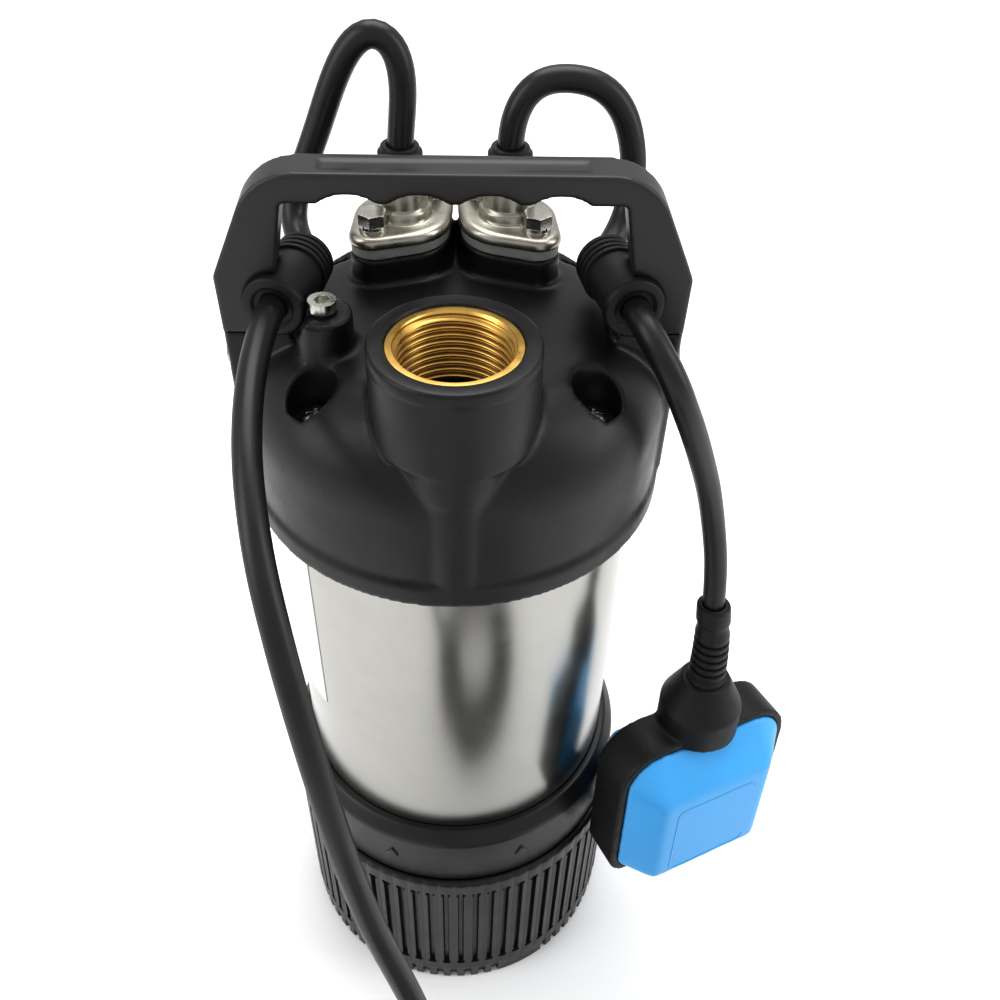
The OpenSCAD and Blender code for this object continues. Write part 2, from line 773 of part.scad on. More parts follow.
module rotor_core() {
    color("#7d7f82") translate([0, 0, core_z - 3]) {
        difference() {
            cylinder(r = rotor_r, h = core_h + 6);
            translate([0, 0, -1]) cylinder(r = 8 + gap / 2, h = 80);
        }
    }
}

// puts float pieces in place: x across, y to the front of the pump, z up, origin on the frame's top
module on_float() {
    translate(float_top) rotate([float_tip, 0, 0]) rotate(float_turn) children();
}

module float_outline(inset = 0) {
    w = float_w / 2 - inset;
    r = 17 - inset;
    hull() for (sx = [-1, 1]) {
        translate([sx * (w - r), -r - inset]) circle(r = r, $fn = 32);
        translate([sx * (w - 9 + inset / 2), -float_h + 9 + inset / 2]) circle(r = 9 - inset / 2, $fn = 32);
    }
}

module float_slab(y0, y1, inset) {
    translate([0, y1, 0]) rotate([90, 0, 0]) linear_extrude(y1 - y0) float_outline(inset);
}

module float_frame() {
    color("#2b2b2d") on_float() difference() {
        union() {
            float_slab(-float_band / 2, float_band / 2, 0);
            translate([0, 0, -12]) cylinder(r = 15.5, h = 22);
            translate([0, 0, 10]) cylinder(r1 = 15.5, r2 = 9, h = 13);
        }
        float_slab(-float_band, float_band, float_wall + 1);
    }
}

module float_shell(s) {
    outer = float_band / 2 + 0.3;
    difference() {
        hull() {
            float_slab(s > 0 ? outer - 1 : -outer, s > 0 ? outer : -outer + 1, 3.4);
            translate([0, s * (outer + float_bulge) + (s > 0 ? 0 : 1), -20]) rotate([90, 0, 0])
                linear_extrude(1) translate([14 - float_w / 2, 24 - float_h])
                    square([float_w - 28, float_h - 24]);
        }
        translate([0, 0, -42]) rotate([90, 0, 0])
            cylinder(r = 17, h = 2 * (outer + float_bulge - float_wall), center = true);
    }
}

module float_face_front() {
    color("#4aa8ee") on_float() float_shell(-1);
}

module float_face_back() {
    color("#4aa8ee") on_float() float_shell(1);
}

module float_neck() {
    color("#29292b") on_float() translate([0, 0, 23.1]) difference() {
        union() {
            cylinder(r1 = 6.6, r2 = 5.3, h = float_neck_h - 23.1 - 2);
            for (k = [0:4]) translate([0, 0, 4 + 5 * k]) cylinder(r = 6.6 - 0.15 * k, h = 2.6);
            translate([0, 0, float_neck_h - 23.1 - 6]) cylinder(r = 5.9, h = 6);
        }
        translate([0, 0, -1]) cylinder(r = cord_r + 0.05, h = 60);
    }
}

module float_switch() {
    color("#4a4a4d") on_float() translate([-10, -6, -23]) cube([20, 12, 11]);
}

module float_ball() {
    color("#c9cacb") on_float() translate([0, 0, -50]) sphere(r = ball_radius);
}

module float_lead_loop() {
    color("#1f1f21") cord(loop_route, cord_r);
}

module float_lead_tail() {
    color("#1f1f21") cord(tail_route, cord_r);
}

module mains_lead() {
    color("#1f1f21") cord(mains_route, cord_r);
}

module mains_coil() {
    color("#242426") translate([coil_centre[0], coil_centre[1], 0]) rotate_extrude($fn = 96)
        translate([coil_r - coil_w / 2, 0]) square([coil_w, coil_h]);
}

// puts the plug in place: x towards its pins, z up, origin under the middle of its pin face
module on_plug() {
    translate([coil_centre[0] - plug_l / 2, coil_centre[1] - coil_r, coil_h]) rotate(180) children();
}

module plug_body() {
    color("#242426") on_plug() difference() {
        union() {
            translate([-plug_l, -plug_w / 2, 0]) cube([plug_l, plug_w, plug_h]);
            translate([-plug_l - relief_l, 0, plug_h / 2]) rotate([0, 90, 0])
                cylinder(r1 = cord_r + 1.6, r2 = 8.5, h = relief_l + 1);
        }
        translate([-plug_l - relief_l - 1, 0, plug_h / 2]) rotate([0, 90, 0])
            cylinder(r = cord_r + 0.05, h = relief_l);
        for (s = [-1, 1]) translate([-plug_l / 2, s * (plug_w / 2 + 24), -1])
            cylinder(r = 26, h = plug_h + 2);
    }
}

module plug_pins() {
    color("#c9c3a8") on_plug() translate([-3, 0, plug_h / 2 + blade_up]) {
        for (s = [-1, 1]) translate([0, s * blade_span / 2 - blade_t / 2, -blade_h / 2])
            cube([blade_l + 3, blade_t, blade_h]);
        translate([0, 0, -earth_drop]) rotate([0, 90, 0]) cylinder(r = earth_r, h = earth_l + 3 - earth_r);
        translate([earth_l + 3 - earth_r, 0, -earth_drop]) sphere(r = earth_r);
    }
}

pump_head();
outlet_insert();
vent_screw();
vent_washer();
tie_screws();
tie_screw_washers();
gland_gaskets();
gland_flanges();
gland_sleeve(-1);  // gland_sleeve_left
gland_sleeve(1);  // gland_sleeve_right
gland_bolts();
gland_spring_washers();
gland_flat_washers();
handle();
handle_screws();
cable_grommet(-1);  // cable_grommet_left
cable_grommet(1);  // cable_grommet_right
outer_casing();
label_plate();
casing_seals();
base_ring();
strainer();
suction_cover();
diffuser(0);  // diffuser_1
diffuser(1);  // diffuser_2
diffuser(2);  // diffuser_3
diffuser(3);  // diffuser_4
discharge_body();
seal_seat();
lower_bracket();
upper_bracket();
motor_shell();
stator_core();
stator_windings();
bearing_outer_rings();
capacitor();
thermal_protector();
terminal_block();
shaft();
shaft_nut();
impeller(0);  // impeller_1
impeller(1);  // impeller_2
impeller(2);  // impeller_3
impeller(3);  // impeller_4
seal_ring();
rotor_core();
bearing_inner_rings();
bearing_balls();
float_frame();
float_face_front();
float_face_back();
float_neck();
float_switch();
float_ball();
float_lead_loop();
float_lead_tail();
mains_lead();
mains_coil();
plug_body();
plug_pins();
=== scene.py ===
"""Looks of a submersible sump pump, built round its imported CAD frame.

Lengths are millimetres in the frame of the CAD model, unless a name ends in _m or a docstring says metres.
"""

import logging
import math
from dataclasses import dataclass, field
from enum import Enum
from typing import Callable, Sequence

import bmesh
import bpy
from mathutils import Matrix, Vector


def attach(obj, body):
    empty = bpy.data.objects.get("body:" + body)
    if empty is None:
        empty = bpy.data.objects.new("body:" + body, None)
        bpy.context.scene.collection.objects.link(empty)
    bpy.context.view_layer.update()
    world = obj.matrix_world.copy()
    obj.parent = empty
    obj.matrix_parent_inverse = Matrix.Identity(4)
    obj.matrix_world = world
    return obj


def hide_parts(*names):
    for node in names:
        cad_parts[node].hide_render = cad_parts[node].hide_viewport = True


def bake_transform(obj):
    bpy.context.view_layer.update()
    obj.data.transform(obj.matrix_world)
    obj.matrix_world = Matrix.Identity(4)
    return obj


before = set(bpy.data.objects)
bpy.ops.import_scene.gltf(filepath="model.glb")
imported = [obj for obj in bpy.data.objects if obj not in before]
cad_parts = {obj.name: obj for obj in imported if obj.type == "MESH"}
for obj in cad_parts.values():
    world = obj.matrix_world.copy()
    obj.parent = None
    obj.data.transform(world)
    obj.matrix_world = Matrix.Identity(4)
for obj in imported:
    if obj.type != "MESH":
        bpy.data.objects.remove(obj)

MM = 0.001
TAU = 2 * math.pi
WELD = 1e-6
FLAT_ANGLE = 0.02
HARD_ANGLE = 0.9
WAVE_TURNS = 20
LOG = logging.getLogger("sump_pump")

Place = Callable[[float, float], Vector]
Section = Sequence[tuple[float, float, float]]


class Body(Enum):
    """The rigid bodies that new pieces ride on."""

    PUMP = "pump"
    FLOAT = "float"


class Side(Enum):
    """Left or right of the pump, as the factor on X."""

    LEFT = -1
    RIGHT = 1


# ---------------------------------------------------------------- finishes


def linear(hex_colour: str) -> tuple[float, float, float, float]:
    """Turns an sRGB hex colour to linear RGBA.

    Args:
        hex_colour: Six hex digits after a hash sign.

    Returns:
        Red, green, blue and an alpha of 1.
    """
    values = [int(hex_colour[i : i + 2], 16) / 255 for i in (1, 3, 5)]
    bent = [v / 12.92 if v <= 0.04045 else ((v + 0.055) / 1.055) ** 2.4 for v in values]
    return (bent[0], bent[1], bent[2], 1.0)


def add(
    tree: bpy.types.NodeTree,
    kind: str,
    settings: dict[str, object] | None = None,
    inputs: dict[str | int, object] | None = None,
) -> bpy.types.Node:
    """Adds a node with its settings, values and links.

    Args:
        tree: The material's node tree.
        kind: The node's type name.
        settings: Properties of the node.
        inputs: A value, or a socket to link from, for each named or numbered input.

    Returns:
        The new node.
    """
    made = tree.nodes.new(kind)
    for name, value in (settings or {}).items():
        setattr(made, name, value)
    for name, value in (inputs or {}).items():
        if isinstance(value, bpy.types.NodeSocket):
            tree.links.new(value, made.inputs[name])
        else:
            made.inputs[name].default_value = value
    return made


@dataclass(frozen=True)
class Finish:
    """A material with a slow drift of tone, a fine grain and slightly rounded edges.

    The size of the drift, the size and depth of the grain and the radius of the edges are in millimetres.
    """

    name: str
    colour: str
    dark: str
    rough: tuple[float, float] = (0.4, 0.55)
    metallic: float = 0.0
    ior: float = 1.5
    drift: float = 22.0
    grain: float = 0.5
    depth: float = 0.012
    edge: float = 0.25
    stretch: tuple[float, float, float] = (1.0, 1.0, 1.0)
    shine: float = 0.5

    def relief(self, tree: bpy.types.NodeTree, place: bpy.types.NodeSocket) -> bpy.types.NodeSocket:
        """Adds the height pattern.

        Args:
            tree: The material's node tree.
            place: The socket with the place on the piece.

        Returns:
            The socket with the height, from 0 to 1.
        """
        moved = add(tree, "ShaderNodeMapping", inputs={"Vector": place, "Scale": self.stretch})
        noise = add(
            tree,
            "ShaderNodeTexNoise",
            inputs={"Vector": moved.outputs[0], "Scale": 1 / (self.grain * MM), "Detail": 3.0},
        )
        return noise.outputs["Fac"]

    def build(self) -> bpy.types.Material:
        """Makes the material once and returns it."""
        made = bpy.data.materials.get(self.name)
        if made:
            return made
        made = bpy.data.materials.new(self.name)
        made.use_nodes = True
        tree = made.node_tree
        tree.nodes.clear()
        place = add(tree, "ShaderNodeTexCoord").outputs["Object"]
        slow = add(
            tree,
            "ShaderNodeTexNoise",
            inputs={"Vector": place, "Scale": 1 / (self.drift * MM), "Detail": 4.0, "Roughness": 0.6},
        ).outputs["Fac"]
        height = self.relief(tree, place)
        tone = add(
            tree,
            "ShaderNodeMapRange",
            inputs={"Value": slow, "From Min": 0.3, "From Max": 0.7, "To Min": 0.0, "To Max": 1.0},
        ).outputs[0]
        half_tone = add(tree, "ShaderNodeMath", {"operation": "MULTIPLY"}, {0: tone, 1: 0.5}).outputs[0]
        both = add(
            tree, "ShaderNodeMath", {"operation": "MULTIPLY_ADD"}, {0: height, 1: 0.5, 2: half_tone}
        ).outputs[0]
        colour = add(
            tree,
            "ShaderNodeMix",
            {"data_type": "RGBA"},
            {0: both, 6: linear(self.dark), 7: linear(self.colour)},
        ).outputs[2]
        smooth, dull = self.rough
        rough = add(
            tree,
            "ShaderNodeMapRange",
            inputs={"Value": both, "From Min": 0.2, "From Max": 0.8, "To Min": smooth, "To Max": dull},
        ).outputs[0]
        edge = add(tree, "ShaderNodeBevel", {"samples": 4}, {"Radius": self.edge * MM}).outputs[0]
        bump = add(
            tree,
            "ShaderNodeBump",
            inputs={"Height": height, "Distance": self.depth * MM, "Strength": 1.0, "Normal": edge},
        ).outputs[0]
        shader = add(
            tree,
            "ShaderNodeBsdfPrincipled",
            inputs={
                "Base Color": colour,
                "Roughness": rough,
                "Metallic": self.metallic,
                "IOR": self.ior,
                "Specular IOR Level": self.shine,
                "Normal": bump,
            },
        )
        add(tree, "ShaderNodeOutputMaterial", inputs={"Surface": shader.outputs[0]})
        return made


@dataclass(frozen=True)
class Layered(Finish):
    """A finish with even layers or wraps along Z, as laminations and windings have."""

    pitch: float = 1.0

    def relief(self, tree: bpy.types.NodeTree, place: bpy.types.NodeSocket) -> bpy.types.NodeSocket:
        """Adds bands along Z, one in each pitch.

        Args:
            tree: The material's node tree.
            place: The socket with the place on the piece.

        Returns:
            The socket with the height, from 0 to 1.
        """
        wave = add(
            tree,
            "ShaderNodeTexWave",
            {"bands_direction": "Z"},
            {"Vector": place, "Scale": TAU / (WAVE_TURNS * self.pitch * MM), "Distortion": 0.6},
        )
        return wave.outputs["Fac"]


# moulded glass-filled nylon: near black, satin, a fine even grain that breaks up the highlights
HEAD_NYLON = Finish(
    "moulded_nylon_head", "#151516", "#0c0c0d", (0.3, 0.5),
    drift=26, grain=0.55, depth=0.02, shine=0.36,
)
# moulded polypropylene: a little greyer and more matt than the head
GRIP_PP = Finish(
    "moulded_polypropylene_handle", "#252526", "#1a1a1b", (0.34, 0.46),
    drift=26, grain=0.6, depth=0.02, shine=0.5,
)
# moulded ABS of the base: even black with a soft sheen
BASE_ABS = Finish(
    "moulded_abs_base", "#19191b", "#0f0f11", (0.28, 0.46),
    drift=24, grain=0.7, depth=0.015, shine=0.4,
)
# turned brass: yellow, bright, with fine tool lines round the bore
BRASS = Finish(
    "turned_brass", "#e0bd74", "#c79f52", (0.26, 0.36), metallic=1.0, drift=6, grain=0.25, depth=0.002,
    edge=0.1, stretch=(0.1, 0.1, 1.0),
)
# zinc plated steel: bright, slightly warm, faintly cloudy
ZINC = Finish(
    "zinc_plated_steel", "#d6d5ce", "#aeada6", (0.14, 0.3),
    metallic=1.0, drift=5, grain=0.4, depth=0.004,
)
# pressed and tumbled stainless: warm grey, soft broken reflections
PRESSED = Finish(
    "tumbled_stainless", "#b9b6aa", "#98958b", (0.24, 0.4),
    metallic=1.0, drift=7, grain=0.6, depth=0.008,
)
# rolled stainless sheet: mirror-like along its length with fine upright draw lines and faint clouds
SHEET = Finish(
    "rolled_stainless_sheet", "#b4b3af", "#a8a7a3", (0.2, 0.24), metallic=1.0, drift=14, grain=0.3,
    depth=0.0008, edge=0.1, stretch=(1.0, 1.0, 0.02),
)
# moulded EPDM: dark grey-black, matt, dusty
EPDM = Finish(
    "moulded_epdm", "#131314", "#0b0b0c", (0.42, 0.6),
    drift=9, grain=0.35, depth=0.015, shine=0.34,
)
# extruded chloroprene cable sheath: black, satin, faint lengthwise unevenness
SHEATH = Finish(
    "extruded_chloroprene", "#18181b", "#101012", (0.32, 0.44),
    drift=14, grain=0.9, depth=0.015, edge=0.1, shine=0.42,
)
# die-cut nitrile gasket: mid grey, dull
GASKET = Finish(
    "cut_nitrile_gasket", "#9b9c98", "#7c7d7a", (0.6, 0.75),
    drift=8, grain=0.4, depth=0.02,
)
# self-adhesive vinyl film: clean white with a slight gloss
FILM = Finish("vinyl_film", "#e8e8e6", "#d9d9d7", (0.3, 0.42), drift=30, grain=0.8, depth=0.004, edge=0.05)
# moulded blue ABS of the float: bright, semi-gloss, very fine grain
FLOAT_BLUE = Finish(
    "moulded_abs_blue", "#4aa9e6", "#419edb", (0.32, 0.44),
    drift=28, grain=0.5, depth=0.008, shine=0.4,
)
# moulded PPO of the stages: dark grey, smooth
STAGE_PPO = Finish("moulded_ppo_stage", "#4b4c50", "#3b3c40", (0.35, 0.5), drift=12)
# moulded acetal impeller: pale blue grey, waxy
ACETAL = Finish("moulded_acetal", "#8f9aa3", "#7c8791", (0.3, 0.45), drift=10)
# sintered alumina: ivory, ground smooth
ALUMINA = Finish("ground_alumina", "#ddd6c6", "#c9c1b0", (0.15, 0.25), drift=4)
# lapped carbon: black, dull
CARBON = Finish("lapped_carbon", "#303134", "#232427", (0.4, 0.55), drift=4)
# die-cast aluminium: pale grey, slightly pitted
CAST = Finish(
    "die_cast_aluminium", "#b3b5b7", "#94979a", (0.35, 0.5),
    metallic=1.0, drift=8, grain=0.7, depth=0.03,
)
# drawn steel tube: grey, satin, upright lines
DRAWN = Finish("drawn_steel_tube", "#b9bbbd", "#94979a", (0.25, 0.4), metallic=1.0, stretch=(1.0, 1.0, 0.05))
# stacked electrical steel: dark grey half-millimetre layers, drawn six times as coarse to show
LAMINATED = Layered(
    "stacked_electrical_steel", "#7c7e82", "#55575b", (0.4, 0.6),
    metallic=1.0, depth=0.05, pitch=3.14,
)
# enamelled copper wire: orange-brown wraps with a varnished gloss, drawn four times as coarse to show
COPPER = Layered(
    "enamelled_copper", "#c0712f", "#8a4517", (0.2, 0.35),
    metallic=1.0, depth=0.12, pitch=2.51,
)
# ground bearing steel: bright and clean
BEARING = Finish("ground_bearing_steel", "#dcdedf", "#c2c5c7", (0.08, 0.18), metallic=1.0, drift=5, edge=0.1)
# drawn aluminium can: pale, soft lines
CAN = Finish(
    "drawn_aluminium_can", "#d8d8d4", "#bcbcb8", (0.22, 0.35),
    metallic=1.0, stretch=(1.0, 1.0, 0.05),
)
# moulded urea: cream, glossy
UREA = Finish("moulded_urea", "#e2ded2", "#d2cdbf", (0.25, 0.35), drift=8)
# moulded PVC plug: black, satin, finely grained
PLUG_PVC = Finish(
    "moulded_pvc_plug", "#161617", "#0e0e0f", (0.4, 0.54),
    drift=10, grain=0.4, depth=0.02, shine=0.36,
)
# nickel washed brass blades: pale gold, polished by use
BLADE = Finish("nickelled_brass", "#d9cfae", "#b9ad88", (0.15, 0.28), metallic=1.0, drift=4, grain=0.3)
# woven hook-and-loop strap: dull black with a fine nap
STRAP = Finish("woven_hook_strap", "#2a2a2d", "#121214", (0.75, 0.95), drift=5, grain=0.5, depth=0.12)


# ---------------------------------------------------------------- mesh work


def piece(
    name: str,
    made: bmesh.types.BMesh,
    finish: Finish,
    body: Body | None,
    nodes: Sequence[str] = (),
    sharp: float = 40.0,
) -> bpy.types.Object:
    """Turns a mesh in work into a finished piece that rides on a body.

    Args:
        name: The piece's name.
        made: The mesh, which is freed.
        finish: What it is made of.
        body: The body that it rides on, or None for a piece that is left unattached.
        nodes: CAD nodes that it stands for.
        sharp: Angle in degrees above which an edge shows as an edge.

    Returns:
        The new object.
    """
    bmesh.ops.recalc_face_normals(made, faces=made.faces)
    for edge in made.edges:
        edge.smooth = len(edge.link_faces) == 2 and edge.calc_face_angle() < math.radians(sharp)
    for face in made.faces:
        face.smooth = True
    mesh = bpy.data.meshes.new(name)
    made.to_mesh(mesh)
    made.free()
    mesh.materials.append(finish.build())
    obj = bpy.data.objects.new(name, mesh)
    bpy.context.scene.collection.objects.link(obj)
    if body:
        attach(obj, body.value)
    if nodes:
        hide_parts(*nodes)
    LOG.info("%s: %d faces in %s", name, len(mesh.polygons), finish.name)
    return obj


def eased(section: Section, steps: int = 5) -> list[tuple[float, float]]:
    """Rounds the corners of a closed section.

    Args:
        section: Corners as (radius, height, length cut off each side of the corner).
        steps: Points on each rounded corner.

    Returns:
        The section's points as (radius, height).
    """
    points = []
    for i, (r, z, cut) in enumerate(section):
        here = Vector((r, z))
        if cut <= 0:
            points.append((r, z))
            continue
        before = Vector(section[i - 1][:2]) - here
        after = Vector(section[(i + 1) % len(section)][:2]) - here
        start = here + before.normalized() * cut
        end = here + after.normalized() * cut
        for k in range(steps + 1):
            t = k / steps
            spot = start * (1 - t) ** 2 + here * 2 * t * (1 - t) + end * t**2
            points.append((spot.x, spot.y))
    return points


def turned(section: Sequence[tuple[float, float]], segments: int = 96) -> bmesh.types.BMesh:
    """Turns a closed half section of (radius, height) once round Z.

    Args:
        section: The points of the section, in order.
        segments: Steps in the full turn.

    Returns:
        The closed mesh.
    """
    made = bmesh.new()
    verts = [made.verts.new((r * MM, 0.0, z * MM)) for r, z in section]
    edges = [made.edges.new(pair) for pair in zip(verts, verts[1:] + verts[:1])]
    bmesh.ops.spin(
        made, geom=verts + edges, cent=(0, 0, 0), axis=(0, 0, 1), angle=TAU, steps=segments, use_merge=True
    )
    bmesh.ops.remove_doubles(made, verts=made.verts, dist=WELD)
    return made


def wrapped(across: int, along: int, place: Place) -> bmesh.types.BMesh:
    """Bends a flat grid into a surface and welds its seams.

    Args:
        across: Cells in the first direction.
        along: Cells in the second direction.
        place: Gives the point in millimetres for two numbers from 0 to 1.

    Returns:
        The mesh.
    """
    made = bmesh.new()
    bmesh.ops.create_grid(made, x_segments=across, y_segments=along, size=0.5)
    for vert in made.verts:
        vert.co = place(vert.co.x + 0.5, vert.co.y + 0.5) * MM
    bmesh.ops.remove_doubles(made, verts=made.verts, dist=WELD)
    return made


def moved(made: bmesh.types.BMesh, matrix: Matrix) -> bmesh.types.BMesh:
    """Moves a mesh in work.

    Args:
        made: The mesh.
        matrix: The move, with its place in millimetres.

    Returns:
        The same mesh.
    """
    scaled = matrix.copy()
    scaled.translation = matrix.translation * MM
    bmesh.ops.transform(made, matrix=scaled, verts=made.verts)
    return made


def joined(parts: Sequence[bmesh.types.BMesh]) -> bmesh.types.BMesh:
    """Puts several meshes in work into one.

    Args:
        parts: The meshes, of which all but the first are freed.

    Returns:
        The first mesh, with the others in it.
    """
    whole = parts[0]
    for part in parts[1:]:
        mesh = bpy.data.meshes.new("part")
        part.to_mesh(mesh)
        part.free()
        whole.from_mesh(mesh)
        bpy.data.meshes.remove(mesh)
    return whole


def softened(node: str, voxel: float, rounds: int, bevel: float = 0.0) -> bmesh.types.BMesh:
    """Copies a CAD node's shape as a moulding with soft edges.

    Args:
        node: The CAD node.
        voxel: Size of the new mesh's cells.
        rounds: Passes of smoothing.
        bevel: Width of the rounding that is put on hard edges first.

    Returns:
        The softened mesh.
    """
    made = bmesh.new()
    made.from_mesh(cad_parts[node].data)
    bmesh.ops.remove_doubles(made, verts=made.verts, dist=WELD)
    if bevel:
        bmesh.ops.dissolve_limit(made, angle_limit=FLAT_ANGLE, verts=made.verts, edges=made.edges)
        hard = [e for e in made.edges if len(e.link_faces) == 2 and e.calc_face_angle() > HARD_ANGLE]
        bmesh.ops.bevel(
            made, geom=hard, offset=bevel * MM, segments=3, profile=0.5, affect="EDGES",
            clamp_overlap=True, material=-1,
        )
    mesh = bpy.data.meshes.new("soft")
    made.to_mesh(mesh)
    made.free()
    obj = bpy.data.objects.new("soft", mesh)
    bpy.context.scene.collection.objects.link(obj)
    remesh = obj.modifiers.new("remesh", "REMESH")
    remesh.mode = "VOXEL"
    remesh.voxel_size = voxel * MM
    ease = obj.modifiers.new("ease", "SMOOTH")
    ease.factor = 0.5
    ease.iterations = rounds
    shown = obj.evaluated_get(bpy.context.evaluated_depsgraph_get())
    result = bmesh.new()
    result.from_mesh(shown.to_mesh())
    shown.to_mesh_clear()
    bpy.data.objects.remove(obj)
    bpy.data.meshes.remove(mesh)
    return result


def dress(finish: Finish, *nodes: str) -> None:
    """Gives CAD nodes that keep their own shape a finish.

    Args:
        finish: What they are made of.
        nodes: The nodes' names.
    """
    for name in nodes:
        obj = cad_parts[name]
        if not obj.material_slots:
            obj.data.materials.append(finish.build())
        for socket in obj.material_slots:
            socket.material = finish.build()
        LOG.info("%s: CAD shape in %s", name, finish.name)


# ---------------------------------------------------------------- cables


def flowing(points: Sequence[Sequence[float]], step: float = 2.0, rounds: int = 4) -> list[Vector]:
    """Draws one smooth curve through the points of a route.

    Args:
        points: The route in millimetres.
        step: Distance between the curve's points.
        rounds: Passes that even out the curve's bends.

    Returns:
        The curve's points in metres.
    """
    spots = [Vector(p) * MM for p in points]
    ends = [2 * spots[0] - spots[1], *spots, 2 * spots[-1] - spots[-2]]
    curve = []
    for a, b, c, d in zip(ends, ends[1:], ends[2:], ends[3:]):
        count = max(1, round((c - b).length / (step * MM)))
        for k in range(count):
            t = k / count
            bend = (2 * a - 5 * b + 4 * c - d) * t**2
            twist = (3 * b - a - 3 * c + d) * t**3
            curve.append(0.5 * (2 * b + (c - a) * t + bend + twist))
    curve.append(spots[-1])
    for _ in range(rounds):
        curve[1:-1] = [(a + 2 * b + c) / 4 for a, b, c in zip(curve, curve[1:], curve[2:])]
    return curve


def cable_mesh(path: Sequence[Vector], radius: float) -> bmesh.types.BMesh:
    """Sweeps a round cable along a path.

    Args:
        path: Points in metres.
        radius: The cable's radius.

    Returns:
        The closed tube.
    """
    curve = bpy.data.curves.new("cable", "CURVE")
    curve.dimensions = "3D"
    curve.bevel_depth = radius * MM
    curve.bevel_resolution = 4
    curve.use_fill_caps = True
    spline = curve.splines.new("POLY")
    spline.points.add(len(path) - 1)
    for spot, where in zip(spline.points, path):
        spot.co = (*where, 1.0)
    obj = bpy.data.objects.new("cable", curve)
    bpy.context.scene.collection.objects.link(obj)
    shown = obj.evaluated_get(bpy.context.evaluated_depsgraph_get())
    made = bmesh.new()
    made.from_mesh(shown.to_mesh())
    shown.to_mesh_clear()
    bpy.data.objects.remove(obj)
    bpy.data.curves.remove(curve)
    bmesh.ops.remove_doubles(made, verts=made.verts, dist=WELD)
    return made


@dataclass
class FloatLead:
    """The float's lead: over the handle, through the right grommet and down to the float."""

    radius: float = 4.0
    route: list[tuple[float, float, float]] = field(
        default_factory=lambda: [
            (16.5, 29, 345), (16.5, 29, 354), (17.4, 29, 361), (19.6, 29.4, 366.6), (23.2, 30, 370.4),
            (28, 31, 372), (34, 31.6, 372), (40.4, 31.6, 370.8), (46, 31.2, 367.4), (50, 30.8, 362),
            (52.6, 30, 355), (54, 28.8, 347), (53.6, 26.4, 339.4), (51.8, 22.4, 333), (48.8, 17.6, 329),
            (45.8, 12.6, 327.2), (44.7, 7, 327), (45.9, 2, 327), (48.2, -8, 327), (50.9, -19.7, 327),
            (51.6, -22.8, 327), (52.9, -27.2, 326.4), (54.8, -31.2, 324.4), (58, -34.8, 320),
            (61.8, -36.6, 313.4), (66, -36.2, 304), (70.8, -33.4, 292.4), (75.8, -29.8, 279),
            (80.6, -26.8, 265), (84.8, -25.4, 249.6), (88.1, -26.4, 234), (89.7, -28.3, 221),
            (90.3, -29.9, 212),
        ]
    )
    exit: tuple[float, float, float] = (16.5, 29, 353)
    hinge: tuple[float, float, float] = (50.9, -19.9, 327)
    turn_end: tuple[float, float, float] = (54.8, -31.2, 324.4)

    def build(self) -> None:
        """Builds the lead as one tube that turns over the float's hinge."""
        path = flowing(self.route)
        obj = piece(
            "float_lead", cable_mesh(path, self.radius), SHEATH, None,
            ("float_lead_loop", "float_lead_tail"),
        )
        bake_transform(obj)


